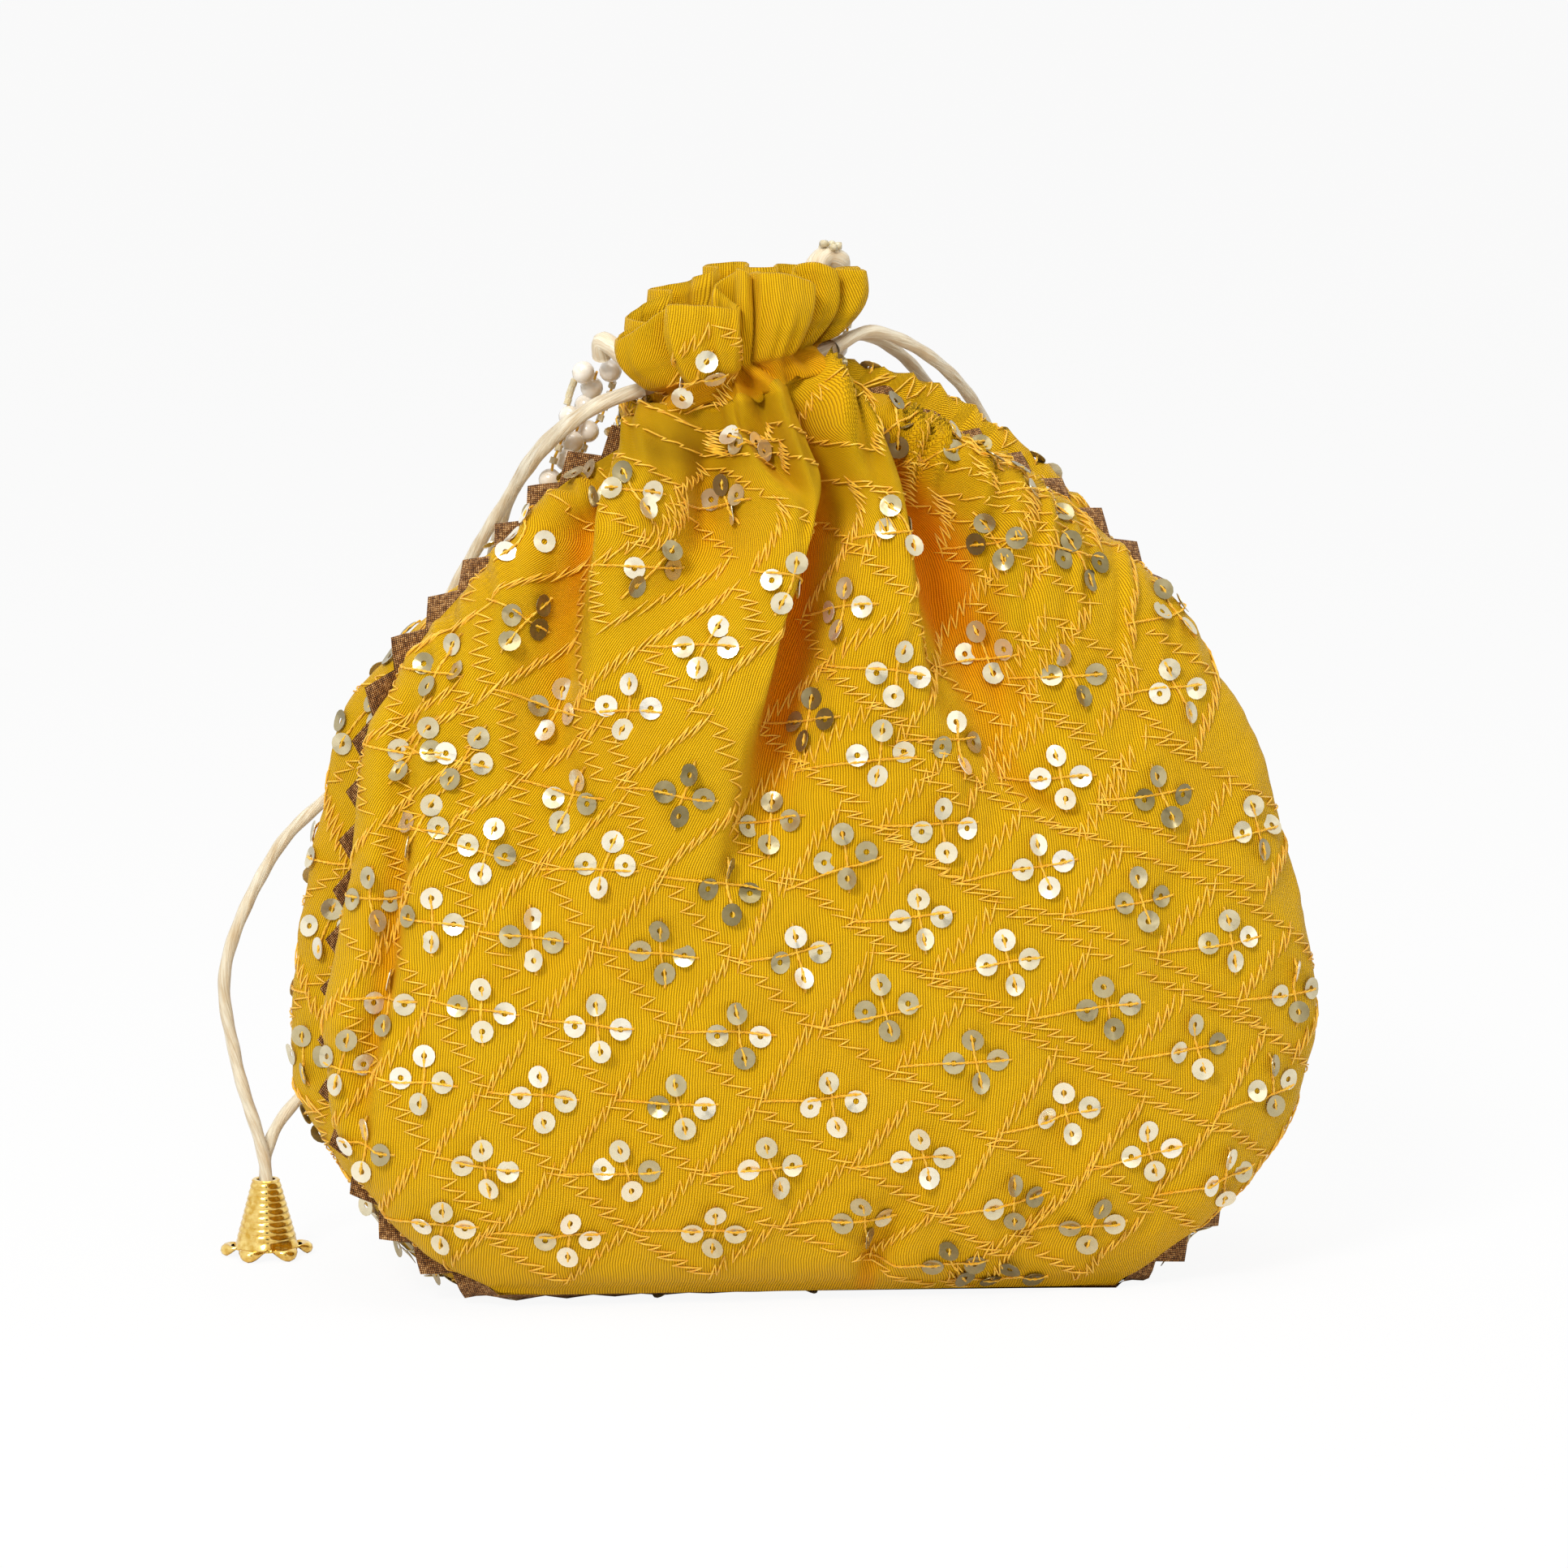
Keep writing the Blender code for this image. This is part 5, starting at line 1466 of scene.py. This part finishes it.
HANDLE_OFF_LEFT = [(-27, 14, 0), (-29, 19, -8)]
HANDLE_ON_BACK = [
    (0.165, 15.0), (0.215, 14.1), (0.255, 13.1), (0.29, 12.1), (0.33, 11.2), (0.37, 10.6), (0.415, 10.4),
    (0.46, 10.8), (0.49, 11.8), (0.505, 13.0), (0.515, 14.2),
]
HANDLE_OFF_RIGHT = [(16.5, 21, -11), (19, 20, -1), (21.2, 19, 9), (22.6, 18, 17.5)]
SEEDS_IN_A_RUN = 4
LEFT_LOOP = [(-26.5, 9.5, 5), (-21, 6, 0.5)]
RIGHT_LOOP = [(23.0, 16.4, 20.4), (20.2, 15.6, 21.4), (17.8, 14, 19.6), (16.4, 11.5, 15.5)]
BEADS_ON_LOOP = 5


def handle_line():
    """The strap's middle line, the way out of the cloth at each point, and how far along the point lies."""
    neck = np.array(NECK_MIDDLE) / MM
    lift = PEARL / MM / 2 + 1.5
    rows = [(*(neck + p), -0.3, 1, 0.1) for p in np.array(HANDLE_OFF_LEFT)]
    for across, at in HANDLE_ON_BACK:
        a, t = np.array([across]), np.array([at])
        here = smooth_cloth(False, a, t)[0]
        along = smooth_cloth(False, a + 0.004, t)[0] - smooth_cloth(False, a - 0.004, t)[0]
        up = smooth_cloth(False, a, t + 0.1)[0] - smooth_cloth(False, a, t - 0.1)[0]
        normal = unit(np.cross(up, along))
        fold = max(0.0, fold_shift(False, here[:1], here[2:], a)[0][0])
        rows.append((*(here + normal * (lift + min(fold, 4.0))), *normal))
    rows += [(*(neck + p), 0.2, 1, 0) for p in np.array(HANDLE_OFF_RIGHT)]
    fine = spline(rows, np.linspace(0, len(rows) - 1, 301))
    for _ in range(40):
        fine[1:-1] = (fine[:-2] + 2 * fine[1:-1] + fine[2:]) / 4
    places = fine[:, :3] * MM
    return places, unit(fine[:, 3:]), lengths_along(places)


def pearl_shape():
    """One pearl: a ball pressed in a little at its two thread holes."""
    made = start_shape(bpy.ops.mesh.primitive_uv_sphere_add, segments=16, ring_count=9, radius=PEARL / 2)
    select_only(lambda: made.data.vertices, lambda v: abs(v.co.z) > 0.49 * PEARL)
    bpy.ops.transform.resize(value=(1, 1, 0.86), center_override=(0, 0, 0))
    return end_shape(made)


def seed_shape():
    """One glass seed bead: a short ring with rounded edges and a hole along Z."""
    add = bpy.ops.mesh.primitive_cylinder_add
    made = start_shape(add, vertices=10, radius=SEED / 2, depth=SEED * 0.86, end_fill_type="NGON")
    select_only(lambda: made.data.polygons, lambda face: abs(face.normal.z) > 0.9)
    bpy.ops.mesh.inset(thickness=0.22 * SEED, depth=0)
    bpy.ops.mesh.inset(thickness=0.08 * SEED, depth=-0.12 * SEED)
    points, faces = end_shape(made)
    rim = (np.abs(points[:, 2]) > 0.42 * SEED) & (np.hypot(points[:, 0], points[:, 1]) > 0.45 * SEED)
    points[rim, :2] *= 0.88
    return points, faces


def set_on(shape, here, along, outward):
    """A shape with its Z along a string."""
    points, faces = shape
    side = np.cross(outward, along)
    return here + points[:, :1] * side + points[:, 1:2] * outward + points[:, 2:3] * along, faces


def beaded_handle():
    """Three strings of beads: the outer ones run apart in seed beads round the middle one's own pearls."""
    places, outs, gone = handle_line()
    length = gone[-1]
    run = SEEDS_IN_A_RUN * SEED
    units = round(length / (PEARL + run))
    scale = length / (units * (PEARL + run) + PEARL)
    close, apart = PEARL / 2 + 0.65 * MM, PEARL / 2 + SEED / 2 + 0.9 * MM

    def at(way, aside):
        """The place, the way along and the way out, so far along the strap and aside of its middle."""
        here, ahead, behind = (at_lengths(places, gone, way + step) for step in (0, MM, -MM))
        along = unit(ahead - behind)
        outward = at_lengths(outs, gone, way)
        outward = unit(outward - along * (outward @ along))
        return here + np.cross(outward, along) * aside, along, outward

    pearl, seed = pearl_shape(), seed_shape()
    seed_stops = [(s + 0.5) / SEEDS_IN_A_RUN for s in range(SEEDS_IN_A_RUN)]
    threads = []
    for name, side in (("left", -1), ("middle", 0), ("right", 1)):
        pearls, seeds, route = [], [], []
        between, bead, stops = (seeds, seed, seed_stops) if side else (pearls, pearl, (0.25, 0.75))
        for k in range(units + 1):
            start = k * (PEARL + run) * scale
            middle = at(start + PEARL * scale / 2, side * close)
            route.append(middle[0])
            if side:
                pearls.append(set_on(pearl, *middle))
            for stop in stops if k < units else ():
                here = at(start + (PEARL + stop * run) * scale, side * apart)
                between.append(set_on(bead, *here))
                route.append(here[0])
        made = new_piece(f"handle_{name}_pearls", *joined(pearls), PEARL_FINISH, "pearl")
        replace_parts(made, f"handle_{name}_string")
        if seeds:
            made = new_piece(f"handle_{name}_seeds", *joined(seeds), BEAD_FINISH, "bead")
            made.data.set_sharp_from_angle(angle=math.radians(35))
        threads.append(tube(even_curve(np.array(route) / MM, 1.5) * MM, 0.3 * MM, 5)[:2])
    new_piece("handle_threads", *joined(threads), STITCH, "bead")
    return at, length


def handle_loops(at, length):
    """The satin loops that tie the strap to the neck, and the ring of clear beads on the right one."""
    neck = np.array(NECK_MIDDLE) / MM
    for word, way, past, radius, bends in (
        ("left", 0.0, -2.2 * MM, 2.0 * MM, LEFT_LOOP), ("right", length, 2.2 * MM, 2.3 * MM, RIGHT_LOOP),
    ):
        here, along, _ = at(way, 0.0)
        line = even_curve([(here + along * past) / MM, *(neck + p for p in bends)], 0.8) * MM
        points, faces, uv = tube(line, radius, 14, 12.0)
        piece = new_piece(f"handle_{word}_satin_loop", points, faces, SATIN, "satin", uv)
        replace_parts(piece, f"handle_{word}_loop")
    seed = seed_shape()
    parts = []
    middle = line[len(line) // 3] + np.array([0.6, -0.6, 2.3]) * MM
    for angle in np.arange(BEADS_ON_LOOP) * 2 * math.pi / BEADS_ON_LOOP:
        cos, sin = math.cos(angle), math.sin(angle)
        place = middle + np.array([1.7 * cos, 1.2 * sin, 0.5 * math.sin(angle * 2)]) * MM
        parts.append(set_on(seed, place, np.array([cos, sin, 0]), np.array([0, 0, 1.0])))
    new_piece("right_loop_beads", *joined(parts), BEAD_FINISH, "bead")


def make_world():
    """A plain room: white where the camera, a reflection or glass sees it, dimmer where it lights the bag."""
    world = bpy.data.worlds.new("white_room")
    bpy.context.scene.world = world
    world.use_nodes = True
    n = Nodes(world.node_tree)
    camera, glossy, through = (
        n.node("ShaderNodeLightPath", {}, {}, f"Is {kind} Ray") for kind in ("Camera", "Glossy", "Transmission")
    )
    seen = camera.math("MAXIMUM", glossy).math("MAXIMUM", through)
    room = n.node("ShaderNodeBackground", {}, {"Color": (1.0, 0.99, 0.97), "Strength": ROOM_LIGHT})
    white = n.node("ShaderNodeBackground", {}, {"Color": (1.0, 1.0, 1.0), "Strength": 1.0})
    both = n.node("ShaderNodeMixShader", {}, {0: seen, 1: room, 2: white})
    n.give(n.tree.nodes["World Output"].inputs[0], both)


def staged_plane(name, finish, **settings):
    """A plane that belongs to the studio and not to the bag."""
    bpy.ops.object.select_all(action="DESELECT")
    bpy.ops.mesh.primitive_plane_add(**settings)
    plane = bpy.context.object
    plane.name = name
    plane.data.materials.append(finish.material)
    return plane


AT, LENGTH = beaded_handle()
handle_loops(AT, LENGTH)


# The studio


ROOM_LIGHT = 0.4
FLOOR_WHITE = 0.92
LAMPS_AIM = Vector((0, 0, 0.1))
LAMPS = [
    ("key", (-0.68, -1.02, 1.08), 0.4, 14.6, (1.0, 0.99, 0.97)),
    ("fill", (1.1, -0.9, 0.6), 0.9, 1.8, (1.0, 1.0, 1.0)),
    ("top", (0.0, -0.25, 1.35), 0.8, 5.6, (1.0, 1.0, 1.0)),
]


def studio():
    bpy.context.scene.view_settings.view_transform = "Standard"
    make_world()

    f = Finish("pale_floor", Base_Color=(0.93, 0.93, 0.93), Roughness=0.9, Specular_IOR_Level=0.0)
    glow = f.node("ShaderNodeEmission", {}, {"Color": (1.0, 1.0, 1.0), "Strength": 1.0})
    share = f.node("ShaderNodeLightPath", {}, {}, "Is Camera Ray") * FLOOR_WHITE
    blend = f.node("ShaderNodeMixShader", {}, {0: share, 1: Value(f, f.shader.outputs[0]), 2: glow})
    f.give(f.tree.nodes["Material Output"].inputs[0], blend)
    staged_plane("floor", f, size=80)

    # A dark card in front of the bag, which shows only as a reflection, gives the gold its dark bands
    f = Finish("dark_card", Base_Color=(0.015, 0.012, 0.01), Roughness=0.9, Specular_IOR_Level=0.0)
    card = staged_plane("dark_card", f, size=1, location=(-0.12, -1.7, 0.72), rotation=(math.pi / 2, 0, 0))
    card.scale = (0.34, 0.75, 1)
    card.visible_camera = card.visible_diffuse = card.visible_shadow = False

    for name, place, size, power, tint in LAMPS:
        light = bpy.data.lights.new(name, "AREA")
        light.size = size
        light.energy = power
        light.color = tint
        lamp = bpy.data.objects.new(name, light)
        bpy.context.scene.collection.objects.link(lamp)
        lamp.location = place
        lamp.rotation_euler = (Vector(place) - LAMPS_AIM).to_track_quat("Z", "Y").to_euler()


studio()
